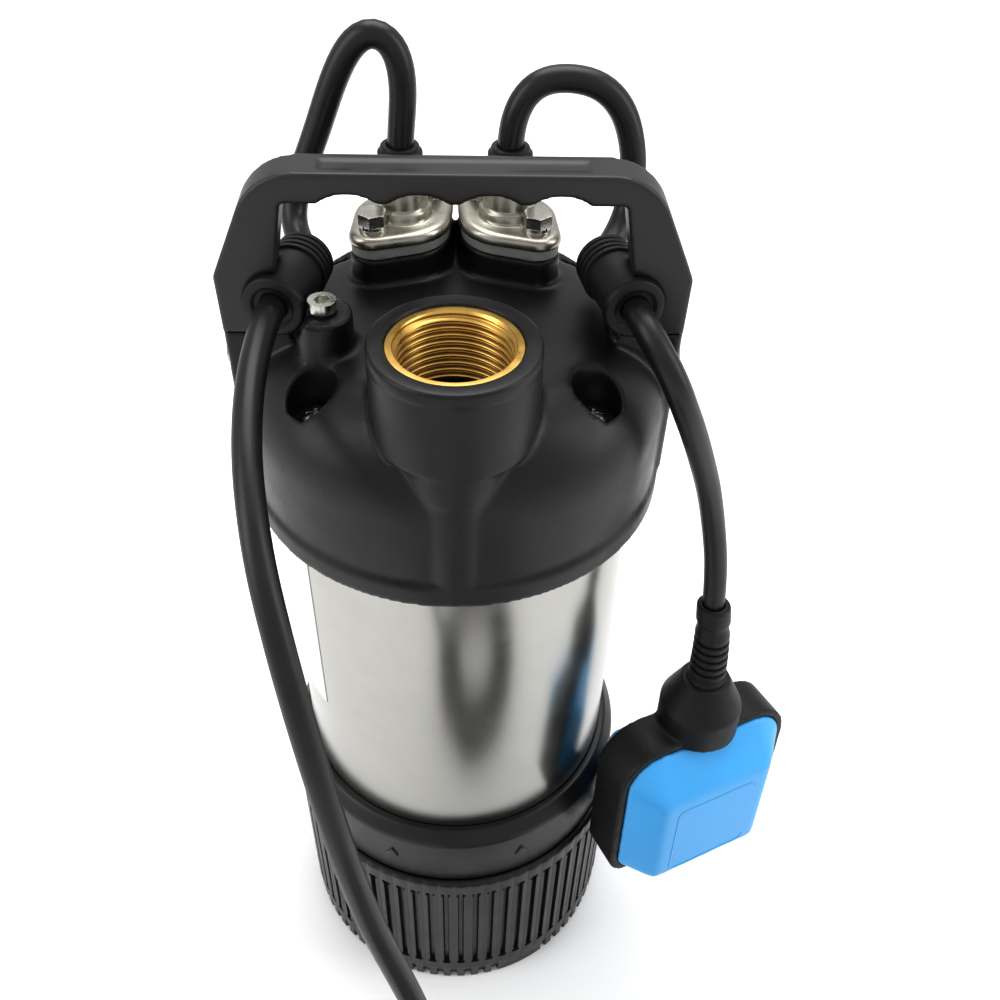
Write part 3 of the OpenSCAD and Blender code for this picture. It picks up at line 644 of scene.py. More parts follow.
@dataclass
class MainsCable:
    """The mains cable: over the handle, through the left grommet, down to the floor and into a coil."""

    radius: float = 4.0
    route: list[tuple[float, float, float]] = field(
        default_factory=lambda: [
            (-16.5, 29, 345), (-16.2, 29, 354), (-15.4, 29, 362), (-14.9, 29.2, 370), (-15.8, 29.6, 377.4),
            (-18.4, 30, 382.6), (-22.4, 30, 384.9), (-26.6, 30, 383.4), (-30.8, 30, 378.4),
            (-34.6, 30, 371.2),
            (-37.6, 30, 364), (-40.4, 30, 357), (-43.4, 29.8, 350), (-46.6, 29, 342.6), (-49, 27, 335.6),
            (-49.4, 23, 330.6), (-47.6, 18, 328), (-45.4, 12.6, 327.1), (-44.7, 7, 327), (-45.9, 2, 327),
            (-48.2, -8, 327), (-50.9, -19.6, 327), (-52, -26, 326.6), (-53.2, -36, 324.2), (-53.8, -47, 321),
            (-53.4, -59, 317), (-52.2, -70.6, 312.4), (-50.2, -82, 306), (-47.6, -92.6, 297.6),
            (-44.2, -102.4, 286.6), (-40.6, -111, 272.6), (-36.8, -118.4, 256), (-33.4, -123.8, 239),
            (-30.6, -127, 222), (-27.6, -129.2, 204), (-23.6, -131.8, 185), (-18.2, -134.8, 165.4),
            (-13, -137.8, 146), (-8.6, -140.8, 126), (-5.4, -143.4, 105), (-3.2, -145.8, 84),
            (-1.6, -148.2, 64), (1, -150.8, 46), (6.6, -153.6, 29.6), (15.6, -156.4, 16.4),
            (27, -158.6, 8.4), (38, -160.4, 5.4),
        ]
    )
    exit: tuple[float, float, float] = (-16.2, 29, 353)
    centre: tuple[float, float] = (50, -250)
    mean_r: float = 72.0
    pitch: float = 8.2
    layer: float = 8.1
    low: float = 5.0
    wide: int = 5
    high: int = 4
    turns: float = 19.29
    per_turn: int = 48
    shift: float = 0.15
    tail: list[tuple[float, float, float]] = field(
        default_factory=lambda: [
            (131.4, -288, 30), (124.5, -301, 34.5), (114.5, -312, 40), (103, -319.4, 44.6),
            (91, -322, 46.8), (82, -322, 47), (74, -322, 47),
        ]
    )
    straps: tuple[float, ...] = (35.0, 155.0, 275.0)
    strap_width: float = 16.0
    strap_thick: float = 0.9
    strap_gap: float = 0.1

    def spot(self, turn: float) -> tuple[float, float, float]:
        """Gives the coil's centreline at a number of turns from its start.

        Args:
            turn: Turns wound so far, clockwise from the back.

        Returns:
            The point in millimetres.
        """
        count = self.wide * self.high
        whole = min(int(turn), count - 1)
        part = turn - whole
        blend = max(0.0, (part - 1 + self.shift) / self.shift)
        blend = blend * blend * (3 - 2 * blend)

        def seat(n: int) -> tuple[float, float]:
            """Gives the place of a whole turn in the bundle.

            Args:
                n: The turn's number.

            Returns:
                Its radius and height.
            """
            layer, step = divmod(min(n, count - 1), self.wide)
            step = self.wide - 1 - step if layer % 2 else step
            return self.mean_r + ((self.wide - 1) / 2 - step) * self.pitch, self.low + layer * self.layer

        (r_a, z_a), (r_b, z_b) = seat(whole), seat(whole + 1)
        r, z = r_a + (r_b - r_a) * blend, z_a + (z_b - z_a) * blend
        angle = TAU / 4 - TAU * turn
        return self.centre[0] + r * math.cos(angle), self.centre[1] + r * math.sin(angle), z

    def strap(self, angle: float) -> bmesh.types.BMesh:
        """Wraps one strap round the bundle.

        Args:
            angle: Where it sits round the coil, in degrees.

        Returns:
            The strap's closed band.
        """
        half_w = (self.wide - 1) / 2 * self.pitch
        half_h = (self.high - 1) / 2 * self.layer
        mid = Vector((self.mean_r, self.low + half_h))
        half = self.strap_width / 2
        section = ((-half, 0.0), (half, self.strap_thick), (half, 0.0))

        def place(u: float, v: float) -> Vector:
            """Finds a point of the strap.

            Args:
                u: How far round the bundle.
                v: How far round the strap's own section, which tapers to one edge.

            Returns:
                The point.
            """
            a = TAU * u
            across, thick = section[round(v * len(section)) % len(section)]
            reach = self.radius + self.strap_gap + thick
            r, z = (
                middle + (math.copysign(flat, way) if abs(way) > WELD else 0.0) + reach * way
                for middle, flat, way in ((mid.x, half_w, math.cos(a)), (mid.y, half_h, math.sin(a)))
            )
            return Vector((r, across, max(z, self.strap_gap / 2)))

        made = wrapped(48, len(section), place)
        turn = Matrix.Rotation(math.radians(angle), 4, "Z")
        turn.translation = Vector((*self.centre, 0))
        return moved(made, turn)

    def build(self) -> None:
        """Builds the cable in one run with its coil, the straps and the plug."""
        steps = int(self.turns * self.per_turn)
        coil = [self.spot(self.turns * k / steps) for k in range(steps + 1)]
        path = flowing([*self.route, *coil, *self.tail])
        cable = piece(
            "mains_cable", cable_mesh(path, self.radius), SHEATH, Body.PUMP,
            ("mains_lead", "mains_coil"),
        )
        straps = piece(
            "coil_straps", joined([self.strap(a) for a in self.straps]), STRAP, Body.PUMP
        )
        plug = piece(
            "mains_plug", softened("plug_body", 0.5, 3), PLUG_PVC, Body.PUMP, ("plug_body",)
        )
        dress(BLADE, "plug_pins")


# ---------------------------------------------------------------- head


@dataclass
class OutletThread:
    """The brass insert with its 1 inch internal pipe thread."""

    axis_y: float = -44.9
    low: float = 310.4
    top: float = 332.4
    crest_r: float = 15.15
    thread_depth: float = 1.3
    thread_pitch: float = 2.309
    outer_r: float = 18.4
    lead_in: float = 1.6
    steepness: float = 3.2
    crest_share: float = 0.3
    rows_a_pitch: int = 14
    around: int = 144
    proud: float = 0.05
    ring_gap: float = 0.3

    def wall(self, u: float, v: float) -> Vector:
        """Finds a point of the threaded bore.

        Args:
            u: How far round it.
            v: How far up it.

        Returns:
            The point.
        """
        z = self.low + (self.top - self.low) * v
        cycle = (z / self.thread_pitch - u) % 1.0
        tooth = min(1.0, max(0.0, self.steepness * abs(cycle - 0.5) - self.crest_share))
        fade = min(1.0, (self.top - z) / self.lead_in)
        r = self.crest_r + self.thread_depth * (tooth * fade + (1 - fade))
        return Vector((r * math.cos(TAU * u), self.axis_y + r * math.sin(TAU * u), z))

    def build(self) -> None:
        """Builds the thread and the ring round it."""
        rows = round((self.top - self.low) / self.thread_pitch * self.rows_a_pitch)
        bore = wrapped(self.around, rows, self.wall)
        rim_r, face = self.crest_r + self.thread_depth, self.top + self.proud
        back_r = rim_r + self.ring_gap
        ring = turned(
            eased([
                (rim_r, self.top, 0), (rim_r, face, 0), (self.outer_r, face, 0.3),
                (self.outer_r, self.low, 0), (back_r, self.low, 0), (back_r, self.top - 0.6, 0),
            ]),
            self.around,
        )
        moved(ring, Matrix.Translation((0, self.axis_y, 0)))
        whole = joined([bore, ring])
        piece("threaded_insert", whole, BRASS, Body.PUMP, ("outlet_insert",), 60)


@dataclass
class Gland:
    """One cable gland: gasket, pressed flange, rubber sleeve and two hexagon bolts."""

    side: Side
    centre: tuple[float, float] = (16.5, 29)
    turn: float = -51.7
    span: float = 13.6
    mid_r: float = 15.0
    end_r: float = 7.3
    pad_top: float = 324.0
    gasket_h: float = 3.5
    plate_h: float = 3.6
    bore_r: float = 6.95
    washers_h: float = 1.9
    head_h: float = 3.8
    across_flats: float = 8.0
    sleeve_r: float = 6.2
    sleeve_low: float = 318.0
    sleeve_step: float = 333.0
    sleeve_top: float = 353.0
    cable_r: float = 4.05

    def outline(self, angle: float) -> float:
        """Gives the flange's outline: the distance to its rim at an angle.

        Args:
            angle: Direction from the gland's middle, with 0 towards a bolt.

        Returns:
            The distance from the middle.
        """
        lean = math.acos((self.mid_r - self.end_r) / self.span)
        a = abs((angle + math.pi / 2) % math.pi - math.pi / 2)
        touch = self.span + self.end_r * math.cos(lean), self.end_r * math.sin(lean)
        if a >= lean:
            return self.mid_r
        if a > math.atan2(touch[1], touch[0]):
            return self.mid_r / math.cos(lean - a)
        return self.span * math.cos(a) + math.sqrt(self.end_r**2 - (self.span * math.sin(a)) ** 2)

    def rows(self, rows: Sequence[tuple[bool, float, float]]) -> bmesh.types.BMesh:
        """Builds a closed ring from rows.

        Args:
            rows: Each row is (follows the outline, radius or offset, height).

        Returns:
            The mesh in the gland's own frame.
        """
        count = len(rows)

        def place(u: float, v: float) -> Vector:
            """Finds a point of the ring.

            Args:
                u: How far round the gland.
                v: How far through the rows.

            Returns:
                The point.
            """
            rim, value, z = rows[round(v * count) % count]
            r = self.outline(TAU * u) + value if rim else value
            return Vector((r * math.cos(TAU * u), r * math.sin(TAU * u), z))

        return wrapped(128, count, place)

    def hexagon(self, x: float) -> bmesh.types.BMesh:
        """Builds a hexagon bolt's head with its chamfered crown.

        Args:
            x: Where the bolt stands along the gland.

        Returns:
            The mesh in the gland's own frame.
        """
        low = self.gasket_h + self.plate_h + self.washers_h
        half = self.across_flats / 2
        top = self.head_h
        crown = (
            (0.0, 0.0), (0.0, 2 * half), (0.35, 2 * half), (top - 0.9, 2 * half), (top - 0.7, half + 0.9),
            (top - 0.5, half + 0.75), (top - 0.3, half + 0.6), (top - 0.1, half + 0.3), (top, half - 1.2),
            (top - 0.1, 0.0),
        )

        def place(u: float, v: float) -> Vector:
            """Finds a point of the head.

            Args:
                u: How far round the head.
                v: How far up the crown's rows.

            Returns:
                The point, on the hexagon or on the cone that cuts its corners.
            """
            a = TAU * u
            flat = half / math.cos((a + math.pi / 6) % (math.pi / 3) - math.pi / 6)
            z, cone = crown[round(v * (len(crown) - 1))]
            r = min(flat, cone)
            return Vector((x + r * math.cos(a), r * math.sin(a), low + z))

        return wrapped(96, len(crown) - 1, place)

    def seat(self, made: bmesh.types.BMesh) -> bmesh.types.BMesh:
        """Moves a mesh from the gland's own frame to its place on the head.

        Args:
            made: The mesh.

        Returns:
            The same mesh.
        """
        place = Matrix.Rotation(math.radians(self.turn), 4, "Z")
        place.translation = Vector((*self.centre, self.pad_top))
        moved(made, place)
        if self.side is Side.LEFT:
            moved(made, Matrix.Scale(-1, 4, (1, 0, 0)))
        return made

    def gasket(self) -> bmesh.types.BMesh:
        """Builds the gasket."""
        h = self.gasket_h
        return self.seat(self.rows([
            (False, self.bore_r, 0.0), (False, self.bore_r, h), (True, -0.9, h), (True, -0.5, h - 0.3),
            (True, -0.4, h - 1.0), (True, -0.4, 0.4), (True, -0.8, 0.0),
        ]))

    def flange(self) -> bmesh.types.BMesh:
        """Builds the pressed flange with its rolled rim and raised collar."""
        low, top = self.gasket_h, self.gasket_h + self.plate_h
        return self.seat(self.rows([
            (False, self.bore_r, low), (False, self.bore_r, top + 12.6), (False, 7.2, top + 13.0),
            (False, 7.7, top + 12.9), (False, 8.0, top + 12.4), (False, 8.0, top + 4.2),
            (False, 8.2, top + 3.4), (False, 8.8, top + 3.1), (False, 9.1, top + 2.6),
            (False, 9.2, top + 1.0),
            (False, 9.4, top + 0.3), (False, 9.9, top), (True, -2.6, top), (True, -1.6, top - 0.15),
            (True, -0.7, top - 0.55), (True, -0.15, top - 1.1), (True, 0.15, top - 1.9),
            (True, 0.3, top - 2.7),
            (True, 0.2, low + 0.2), (True, -0.2, low), (True, -0.8, low),
        ]))

    def bolts(self) -> bmesh.types.BMesh:
        """Builds both hexagon heads."""
        return self.seat(joined([self.hexagon(-self.span), self.hexagon(self.span)]))

    def sleeve(self) -> bmesh.types.BMesh:
        """Builds the rubber sleeve with its collar and rolled mouth."""
        r, low, step, top = self.sleeve_r, self.sleeve_low, self.sleeve_step, self.sleeve_top
        plug_r = self.bore_r - 0.1
        made = turned(
            eased([
                (self.cable_r, low, 0), (plug_r, low, 0.3), (plug_r, step, 0.4), (r, step + 0.8, 0.4),
                (r, top - 6.4, 0.3), (r + 0.6, top - 5.8, 0.3), (r + 0.6, top - 2, 0.5),
                (r - 0.3, top - 1.4, 0.3), (r - 0.4, top, 0.7), (self.cable_r, top, 0.3),
            ]),
            48,
        )
        place = Matrix.Translation((self.side.value * self.centre[0], self.centre[1], 0))
        return moved(made, place)


@dataclass
class PumpHead:
    """The moulded head with everything that is screwed to it."""

    voxel: float = 1.06
    nose: tuple[float, float] = (18.5, 23.32)
    nose_low: float = 328.0
    nose_top: float = 333.25
    glands: tuple[Gland, Gland] = (Gland(Side.LEFT), Gland(Side.RIGHT))

    def build(self) -> None:
        """Builds the head, the outlet's thread and both glands."""
        inner, outer = self.nose
        rim = turned(
            eased([
                (inner, self.nose_low, 0), (outer - 0.3, self.nose_low, 0), (outer, self.nose_low + 2, 0),
                (outer, self.nose_top, 1.2), (inner, self.nose_top, 0.8),
            ]),
            160,
        )
        moved(rim, Matrix.Translation((0, OutletThread.axis_y, 0)))
        whole = joined([softened("pump_head", self.voxel, 2), rim])
        piece("head_moulding", whole, HEAD_NYLON, Body.PUMP, ("pump_head",), 180)
        OutletThread().build()
        piece(
            "gland_gasket_pair", joined([g.gasket() for g in self.glands]), GASKET, Body.PUMP,
            ("gland_gaskets",),
        )
        piece(
            "gland_flange_pair", joined([g.flange() for g in self.glands]), PRESSED, Body.PUMP,
            ("gland_flanges",), 60,
        )
        piece(
            "gland_hex_bolts", joined([g.bolts() for g in self.glands]), ZINC, Body.PUMP,
            ("gland_bolts",), 28,
        )
        for gland in self.glands:
            word = gland.side.name.lower()
            piece(
                f"sleeve_{word}", gland.sleeve(), EPDM, Body.PUMP,
                (f"gland_sleeve_{word}",),
            )
        dress(ZINC, "vent_screw", "tie_screws", "tie_screw_washers")
        dress(ZINC, "gland_spring_washers", "gland_flat_washers")
        dress(EPDM, "vent_washer")


@dataclass
class Handle:
    """The carrying handle with its screws and the two cable grommets."""

    at: tuple[float, float, float] = (50.6, -18.5, 327)
    turn: float = 13.0
    bore_r: float = 4.05
    lip_r: float = 9.3
    neck_r: float = 8.2
    length: float = 26.5
    ribs: int = 4
    rib_span: float = 9.0
    rib_pitch: float = 2.5
    rib_taper: float = 0.15
    voxel: float = 0.7
    edge_w: float = 1.6

    def grommet(self, side: Side) -> bmesh.types.BMesh:
        """Builds one grommet: a round lip, a neck and tapering ribs.

        Args:
            side: The leg that it sits in.

        Returns:
            The mesh in its place.
        """
        section = [
            (self.bore_r, -0.4, 0.3), (5.6, -0.6, 0.3), (6.4, -1.3, 0.5), (self.lip_r - 0.4, -1.2, 0.9),
            (self.lip_r, 0.9, 0.6), (self.lip_r - 0.3, 1.8, 0.4), (self.neck_r, 2.1, 0.2),
        ]
        for k in range(self.ribs):
            z = self.length - self.rib_span + self.rib_pitch * k
            r = self.lip_r - self.rib_taper * k
            section += [
                (self.neck_r, z, 0.2), (r, z + 0.1, 0.4), (r, z + 1.7, 0.6), (self.neck_r, z + 1.9, 0.2)
            ]
        section += [(self.neck_r - 0.6, self.length + 0.4, 0.5), (self.bore_r, self.length + 0.4, 0.3)]
        place = Matrix.Rotation(math.radians(self.turn), 4, "Z") @ Matrix.Rotation(-math.pi / 2, 4, "X")
        place.translation = Vector(self.at)
        made = moved(turned(eased(section, 4), 64), place)
        if side is Side.LEFT:
            moved(made, Matrix.Scale(-1, 4, (1, 0, 0)))
        return made

    def build(self) -> None:
        """Builds the handle and both grommets."""
        grip = softened("handle", self.voxel, 4, self.edge_w)
        piece("grip_moulding", grip, GRIP_PP, Body.PUMP, ("handle",), 180)
        for side in Side:
            word = side.name.lower()
            piece(
                f"grommet_{word}", self.grommet(side), EPDM, Body.PUMP,
                (f"cable_grommet_{word}",),
            )
        dress(ZINC, "handle_screws")


# ---------------------------------------------------------------- casing and base


@dataclass
class Casing:
    """The stainless sheet casing and its blank label."""

    radius: float = 60.6
    wall: float = 0.8
    low: float = 97.0
    top: float = 259.0

    def build(self) -> None:
        """Builds the casing."""
        inner = self.radius - self.wall
        section = eased([
            (inner, self.low, 0.2), (self.radius, self.low, 0.2),
            (self.radius, self.top, 0.2), (inner, self.top, 0.2),
        ])
        piece("casing_sheet", turned(section, 256), SHEET, Body.PUMP, ("outer_casing",))
        dress(FILM, "label_plate")
        dress(EPDM, "casing_seals")


@dataclass
class Base:
    """The base ring and the slotted strainer."""

    ring_r: float = 67.0
    lip_z: float = 114.0
    ring_top: float = 119.0
    ring_low: float = 88.3
    neck_r: float = 65.4
    neck_low: float = 83.0
    bore_r: float = 49.6
    casing_r: float = 60.7
    lip_w: float = 2.6
    seat_z: float = 94.5
    marks: int = 8
    mark_half: float = 2.6
    mark_low: float = 101.0
    mark_top: float = 105.4
    mark_sunk: float = 0.3
    mark_h: float = 0.9
    strainer_r: float = 69.7
    strainer_wall: float = 2.7
    strainer_h: float = 87.7
    slots: int = 69
    slot_share: float = 0.34
    slot_low: float = 15.5
    slot_high: float = 80.5
    notch_top: float = 8.4
    feet: tuple[float, ...] = (-25.0, 25.0, 155.0, 205.0)
    groove: float = 2.3
    eye_in: float = 1.2
    eye_r: float = 1.4
    eye_share: float = 0.09
    notch_extra: float = 0.04
    foot_half: float = 8.0
    rib_dish: float = 0.45

    def mark(self, angle: float) -> bmesh.types.BMesh:
        """Builds one small raised arrow on the ring.

        Args:
            angle: Where it sits, in degrees.

        Returns:
            The mesh in its place.
        """
        made = bmesh.new()
        corners = ((-self.mark_half, self.mark_low), (self.mark_half, self.mark_low), (0, self.mark_top))
        back = self.ring_r - self.mark_sunk
        face = made.faces.new([made.verts.new((back * MM, y * MM, z * MM)) for y, z in corners])
        grown = bmesh.ops.extrude_face_region(made, geom=[face])
        tops = [g for g in grown["geom"] if isinstance(g, bmesh.types.BMVert)]
        bmesh.ops.translate(made, verts=tops, vec=(self.mark_h * MM, 0, 0))
        bmesh.ops.bevel(
            made, geom=made.edges, offset=0.15 * MM, segments=2, profile=0.5, affect="EDGES",
            clamp_overlap=True, material=-1,
        )
        return moved(made, Matrix.Rotation(math.radians(angle), 4, "Z"))

    def ring(self) -> bmesh.types.BMesh:
        """Builds the base ring with its soft lip and its arrows."""
        inner = self.casing_r
        section = eased([
            (self.bore_r, self.neck_low, 0), (self.neck_r, self.neck_low, 0.5),
            (self.neck_r, self.ring_low, 0.3), (self.ring_r, self.ring_low, 0.8),
            (self.ring_r, self.lip_z, 1.6), (self.casing_r + self.lip_w, self.ring_top, 1.0),
            (inner, self.ring_top, 0.3), (inner, self.seat_z, 0), (self.bore_r, self.seat_z, 0),
        ])
        parts = [turned(section, 192)]
        parts += [self.mark((k + 0.5) * 360 / self.marks) for k in range(self.marks)]
        return joined(parts)

    def outer(self, u: float, z: float) -> float:
        """Gives the strainer's outer radius.

        Args:
            u: Place round it, from 0 to 1.
            z: Height.

        Returns:
            The radius: high on the ribs, low in the slots and in the notches under them.
        """
        off = abs((u * self.slots + 0.5) % 1.0 - 0.5)
        from_end = min(abs(z - self.slot_high + self.eye_in), abs(z - self.slot_low - self.eye_in))
        eye = max(0.0, 1 - from_end / self.eye_r)
        slot = self.slot_low < z < self.slot_high and off < self.slot_share / 2 + self.eye_share * eye
        away = min(abs((360 * u + 90 - foot + 180) % 360 - 180) for foot in self.feet)
        between = off > 0.5 - self.slot_share / 2 - self.notch_extra
        notch = z < self.notch_top and between and away > self.foot_half
        crown = self.rib_dish * max(0.0, 1 - 2 * off) ** 0.5 if z > self.notch_top else 0.0
        ends = 0.8 * max(0.0, 1 - z / 1.4) ** 2 + 0.7 * max(0.0, 1 - (self.strainer_h - z) / 1.2) ** 2
        return self.strainer_r - (self.groove if slot or notch else self.rib_dish - crown) - ends

    def strainer(self) -> bmesh.types.BMesh:
        """Builds the ribbed strainer with deep slots and the notches at its foot."""
        per_rib = 16
        low, high = self.slot_low, self.slot_high
        near = (0, 0.2, 0.6, 1.2, 1.8, 2.5, 3.2)
        levels = [0, 0.5, 1.0, 1.5, 3.0, self.notch_top - 0.3, self.notch_top + 0.1, 11]
        levels += [low + gap for gap in near] + [30, 48, 64] + [high - gap for gap in reversed(near)]
        levels += [82.5, 84.5, 86.2, 86.8, 87.3, self.strainer_h]
        inner = self.strainer_r - self.strainer_wall
        inside = ((inner, self.strainer_h), (inner, 4.0), (0.01, 4.0), (0.01, 0.0))
        count = len(levels) + len(inside)

        def place(u: float, v: float) -> Vector:
            """Goes round the strainer with u, and up its outside and down its inside with v."""
            k = round(v * count) % count
            r, z = (self.outer(u, levels[k]), levels[k]) if k < len(levels) else inside[k - len(levels)]
            return Vector((r * math.cos(TAU * u), r * math.sin(TAU * u), z))

        return wrapped(self.slots * per_rib, count, place)

    def build(self) -> None:
        """Builds the ring and the strainer."""
        piece("lower_ring", self.ring(), BASE_ABS, Body.PUMP, ("base_ring",))
        piece("strainer_basket", self.strainer(), BASE_ABS, Body.PUMP, ("strainer",), 50)


# ---------------------------------------------------------------- float


@dataclass
class FloatSwitch:
    """The float: black frame, two blue faces and the ribbed neck on its lead."""

    top: tuple[float, float, float] = (93, -34.8, 153.3)
    turn: float = 24.6
    tip: float = -4.6
    neck_low: float = 22.6
    neck_top: float = 60.6
    bore_r: float = 4.05
    ribs: int = 6
    lean: float = 2.7
    band: float = 18.0
    bulge: float = 11.0
    grow: float = 0.4
    soft_rounds: int = 22

    def place(self) -> Matrix:
        """Gives the float's own frame: Z up its neck and Y through its faces."""
        tipped = Matrix.Rotation(math.radians(self.tip), 4, "X")
        whole = tipped @ Matrix.Rotation(math.radians(self.turn), 4, "Z")
        whole.translation = Vector(self.top)
        return whole

    def shell(self, word: str) -> bmesh.types.BMesh:
        """Builds one blue half with broad soft edges.

        Args:
            word: Which half, front or back.

        Returns:
            The mesh in its place.
        """
        made = softened(f"float_face_{word}", 0.8, 3)
        place = self.place()
        back = place.inverted()
        proud = [v for v in made.verts if abs((back @ (v.co / MM)).y) > self.band / 2 + 1.6]
        for _ in range(self.soft_rounds):
            bmesh.ops.smooth_vert(
                made, verts=proud, factor=0.5, use_axis_x=True, use_axis_y=True, use_axis_z=True
            )
        made.normal_update()
        for vert in made.verts:
            vert.co += vert.normal * self.grow * MM
        panel = moved(self.panel(-1 if word == "front" else 1), place)
        return joined([made, panel])

    def panel(self, side: int) -> bmesh.types.BMesh:
        """Builds the fine raised line round the flat of one half.

        Args:
            side: The side of the float that it is on, as a factor on its Y.

        Returns:
            The closed ring in the float's own frame.
        """
        half_x, half_z, corner, mid_z = 15.0, 16.0, 3.0, -44.5
        face_y = self.band / 2 + 0.3 + self.bulge + self.grow
        section = ((-0.35, -1.0), (-0.25, 0.16), (0.25, 0.16), (0.35, -1.0))

        def spot(u: float, v: float) -> Vector:
            """Goes round the line with u and round its own section with v."""
            a = TAU * u
            out, up = section[round(v * 4) % 4]
            x = math.copysign(half_x, math.cos(a)) + (corner + out) * math.cos(a)
            z = math.copysign(half_z, math.sin(a)) + (corner + out) * math.sin(a)
            return Vector((x, side * (face_y + up), mid_z + z))

        return wrapped(64, 4, spot)

    def neck(self) -> bmesh.types.BMesh:
        """Builds the strain relief with its rings and collar."""
        low = self.neck_low
        section = [(self.bore_r, low, 0), (7.4, low, 0.4), (7.2, low + 1.6, 0.4)]
        for k in range(self.ribs):
            z = self.neck_low + 2.6 + 3.6 * k
            r = 6.9 - 0.12 * k
            section += [(r - 1.1, z, 0.3), (r - 1.1, z + 1.1, 0.3), (r, z + 1.3, 0.4), (r, z + 3.4, 0.4)]
        top = self.neck_top
        section += [
            (5.6, top - 10.5, 0.3), (5.6, top - 8.5, 0.4), (6.2, top - 7.8, 0.5), (6.0, top - 0.6, 0.8),
            (5.0, top, 0.5), (self.bore_r, top, 0.2),
        ]
        made = turned(eased(section, 4), 48)
        for vert in made.verts:
            rise = max(0.0, (vert.co.z / MM - self.neck_low) / (self.neck_top - self.neck_low))
            vert.co.x -= self.lean * MM * rise**2 * math.cos(math.radians(self.turn))
            vert.co.y += self.lean * MM * rise**2 * math.sin(math.radians(self.turn))
        return moved(made, self.place())

    def build(self) -> None:
        """Builds the float's outside and dresses its inside."""
        band = softened("float_frame", 0.7, 5)
        piece("float_band", band, EPDM, Body.FLOAT, ("float_frame",), 180)
        for word in ("front", "back"):
            piece(
                f"float_shell_{word}", self.shell(word), FLOAT_BLUE, Body.FLOAT,
                (f"float_face_{word}",), 180,
            )
        piece("float_strain_relief", self.neck(), EPDM, Body.FLOAT, ("float_neck",))
        dress(STAGE_PPO, "float_switch")
        dress(BEARING, "float_ball")


def dress_inside() -> None:
    """Gives every inner piece its finish."""
    dress(STAGE_PPO, "suction_cover", "diffuser_1", "diffuser_2", "diffuser_3", "diffuser_4")
    dress(STAGE_PPO, "discharge_body")
    dress(STAGE_PPO, "thermal_protector")
    dress(ACETAL, "impeller_1", "impeller_2", "impeller_3", "impeller_4")
    dress(ALUMINA, "seal_seat")
    dress(CARBON, "seal_ring")
    dress(CAST, "lower_bracket", "upper_bracket")
    dress(DRAWN, "motor_shell", "shaft")
    dress(LAMINATED, "stator_core", "rotor_core")
    dress(COPPER, "stator_windings")
    dress(BEARING, "bearing_outer_rings", "bearing_inner_rings", "bearing_balls")
    dress(CAN, "capacitor")
    dress(UREA, "terminal_block")
    dress(ZINC, "shaft_nut")


# ---------------------------------------------------------------- studio


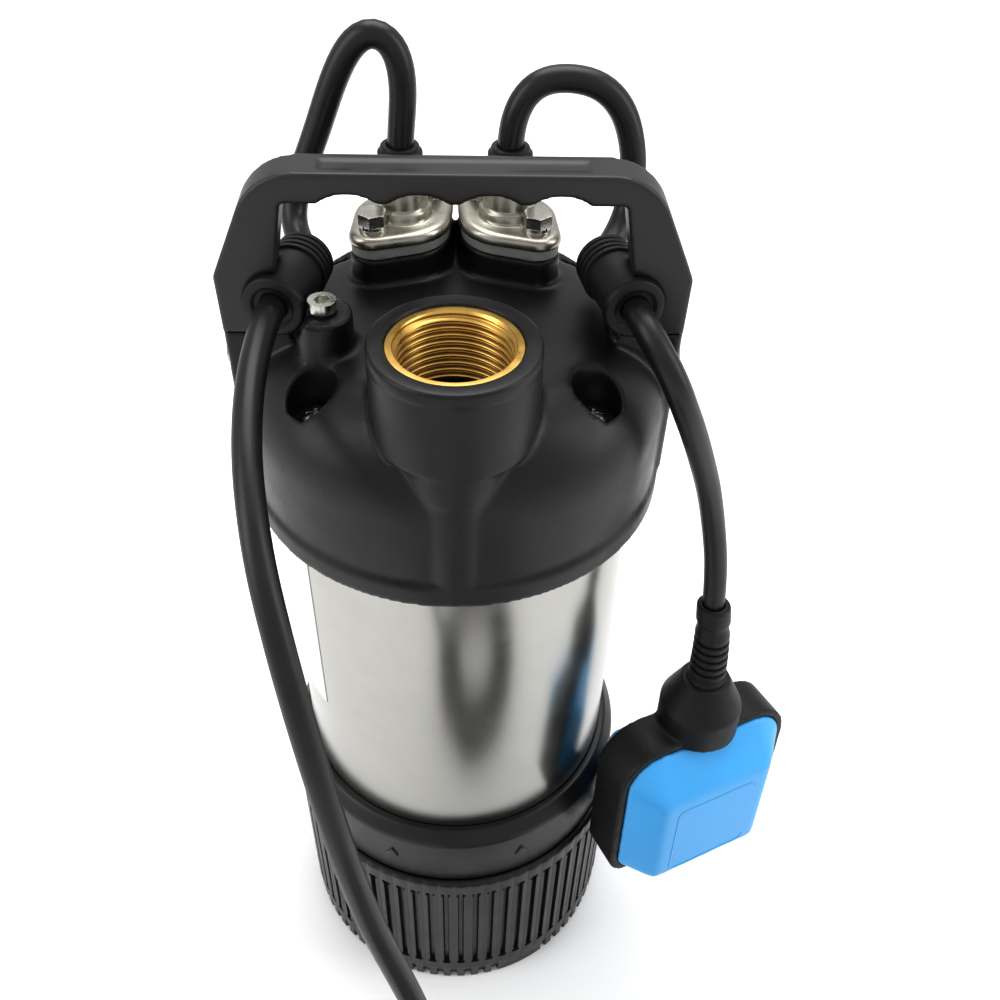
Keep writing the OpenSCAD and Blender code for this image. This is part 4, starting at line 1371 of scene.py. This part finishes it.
@dataclass
class Studio:
    """The camera, the pale floor and the soft lights."""

    eye: tuple[float, float, float] = (1.3, -269.5, 487.2)
    yaw: float = 3.02
    pitch: float = 43.02
    roll: float = 2.01
    lens: float = 37.46
    sensor: float = 36.0
    sky: float = 0.85
    gamma: float = 0.84
    floor_half_m: float = 6.0
    aim_m: tuple[float, float, float] = (0, 0, 0.2)

    def camera(self) -> None:
        """Sets the camera by its heading, its dip and its roll."""
        yaw, pitch, roll = (math.radians(a) for a in (self.yaw, self.pitch, self.roll))
        ahead = Vector((math.sin(yaw) * math.cos(pitch), math.cos(yaw) * math.cos(pitch), -math.sin(pitch)))
        level = Vector((math.cos(yaw), -math.sin(yaw), 0))
        rise = level.cross(ahead)
        right = level * math.cos(roll) + rise * math.sin(roll)
        up = right.cross(ahead)
        data = bpy.data.cameras.new("camera")
        data.lens = self.lens
        data.sensor_width = self.sensor
        data.clip_start = 0.01
        obj = bpy.data.objects.new("camera", data)
        turn = Matrix((right, up, -ahead)).transposed().to_4x4()
        turn.translation = Vector(self.eye) * MM
        obj.matrix_world = turn
        bpy.context.scene.collection.objects.link(obj)
        bpy.context.scene.camera = obj

    def light(self, name: str, place: Sequence[float], size: tuple[float, float], watts: float) -> None:
        """Hangs a soft light that faces the pump.

        Args:
            name: The light's name.
            place: Where it hangs, in metres.
            size: Its width and height, in metres.
            watts: Its power.
        """
        data = bpy.data.lights.new(name, "AREA")
        data.shape = "RECTANGLE"
        data.size, data.size_y = size
        data.energy = watts
        obj = bpy.data.objects.new(name, data)
        obj.location = place
        obj.rotation_euler = (Vector(self.aim_m) - Vector(place)).to_track_quat("-Z", "Y").to_euler()
        obj.visible_camera = False
        bpy.context.scene.collection.objects.link(obj)

    def floor(self) -> None:
        """Lays the pale floor and sets an even white sky."""
        made = bmesh.new()
        bmesh.ops.create_grid(made, x_segments=2, y_segments=2, size=self.floor_half_m)
        mesh = bpy.data.meshes.new("floor")
        made.to_mesh(mesh)
        made.free()
        mesh.materials.append(
            Finish(
                "white_paper_sweep", "#fbfbfb", "#f6f6f6", (0.8, 0.95), drift=200, grain=3.0, edge=0.0
            ).build()
        )
        obj = bpy.data.objects.new("floor", mesh)
        bpy.context.scene.collection.objects.link(obj)
        world = bpy.data.worlds.new("sky")
        world.use_nodes = True
        back = world.node_tree.nodes["Background"]
        back.inputs["Color"].default_value = linear("#ffffff")
        back.inputs["Strength"].default_value = self.sky
        bpy.context.scene.world = world

    def build(self) -> None:
        """Builds the whole studio."""
        self.camera()
        self.floor()
        self.light("overhead", (0.1, 0.5, 1.5), (1.2, 0.9), 16)
        self.light("left_box", (-1.1, -0.4, 0.9), (0.6, 1.2), 8)
        self.light("right_box", (1.2, -0.2, 0.8), (0.5, 1.2), 7)
        bpy.context.scene.view_settings.view_transform = "Standard"
        bpy.context.scene.view_settings.gamma = self.gamma


def main() -> None:
    """Builds the pump from its sub-assemblies."""
    logging.basicConfig(level=logging.INFO, format="%(name)s: %(message)s")
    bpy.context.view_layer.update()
    for part in (Studio(), MainsCable(), FloatLead(), PumpHead(), Handle(), Casing(), Base(), FloatSwitch()):
        part.build()
    dress_inside()


if __name__ == "__main__":
    main()
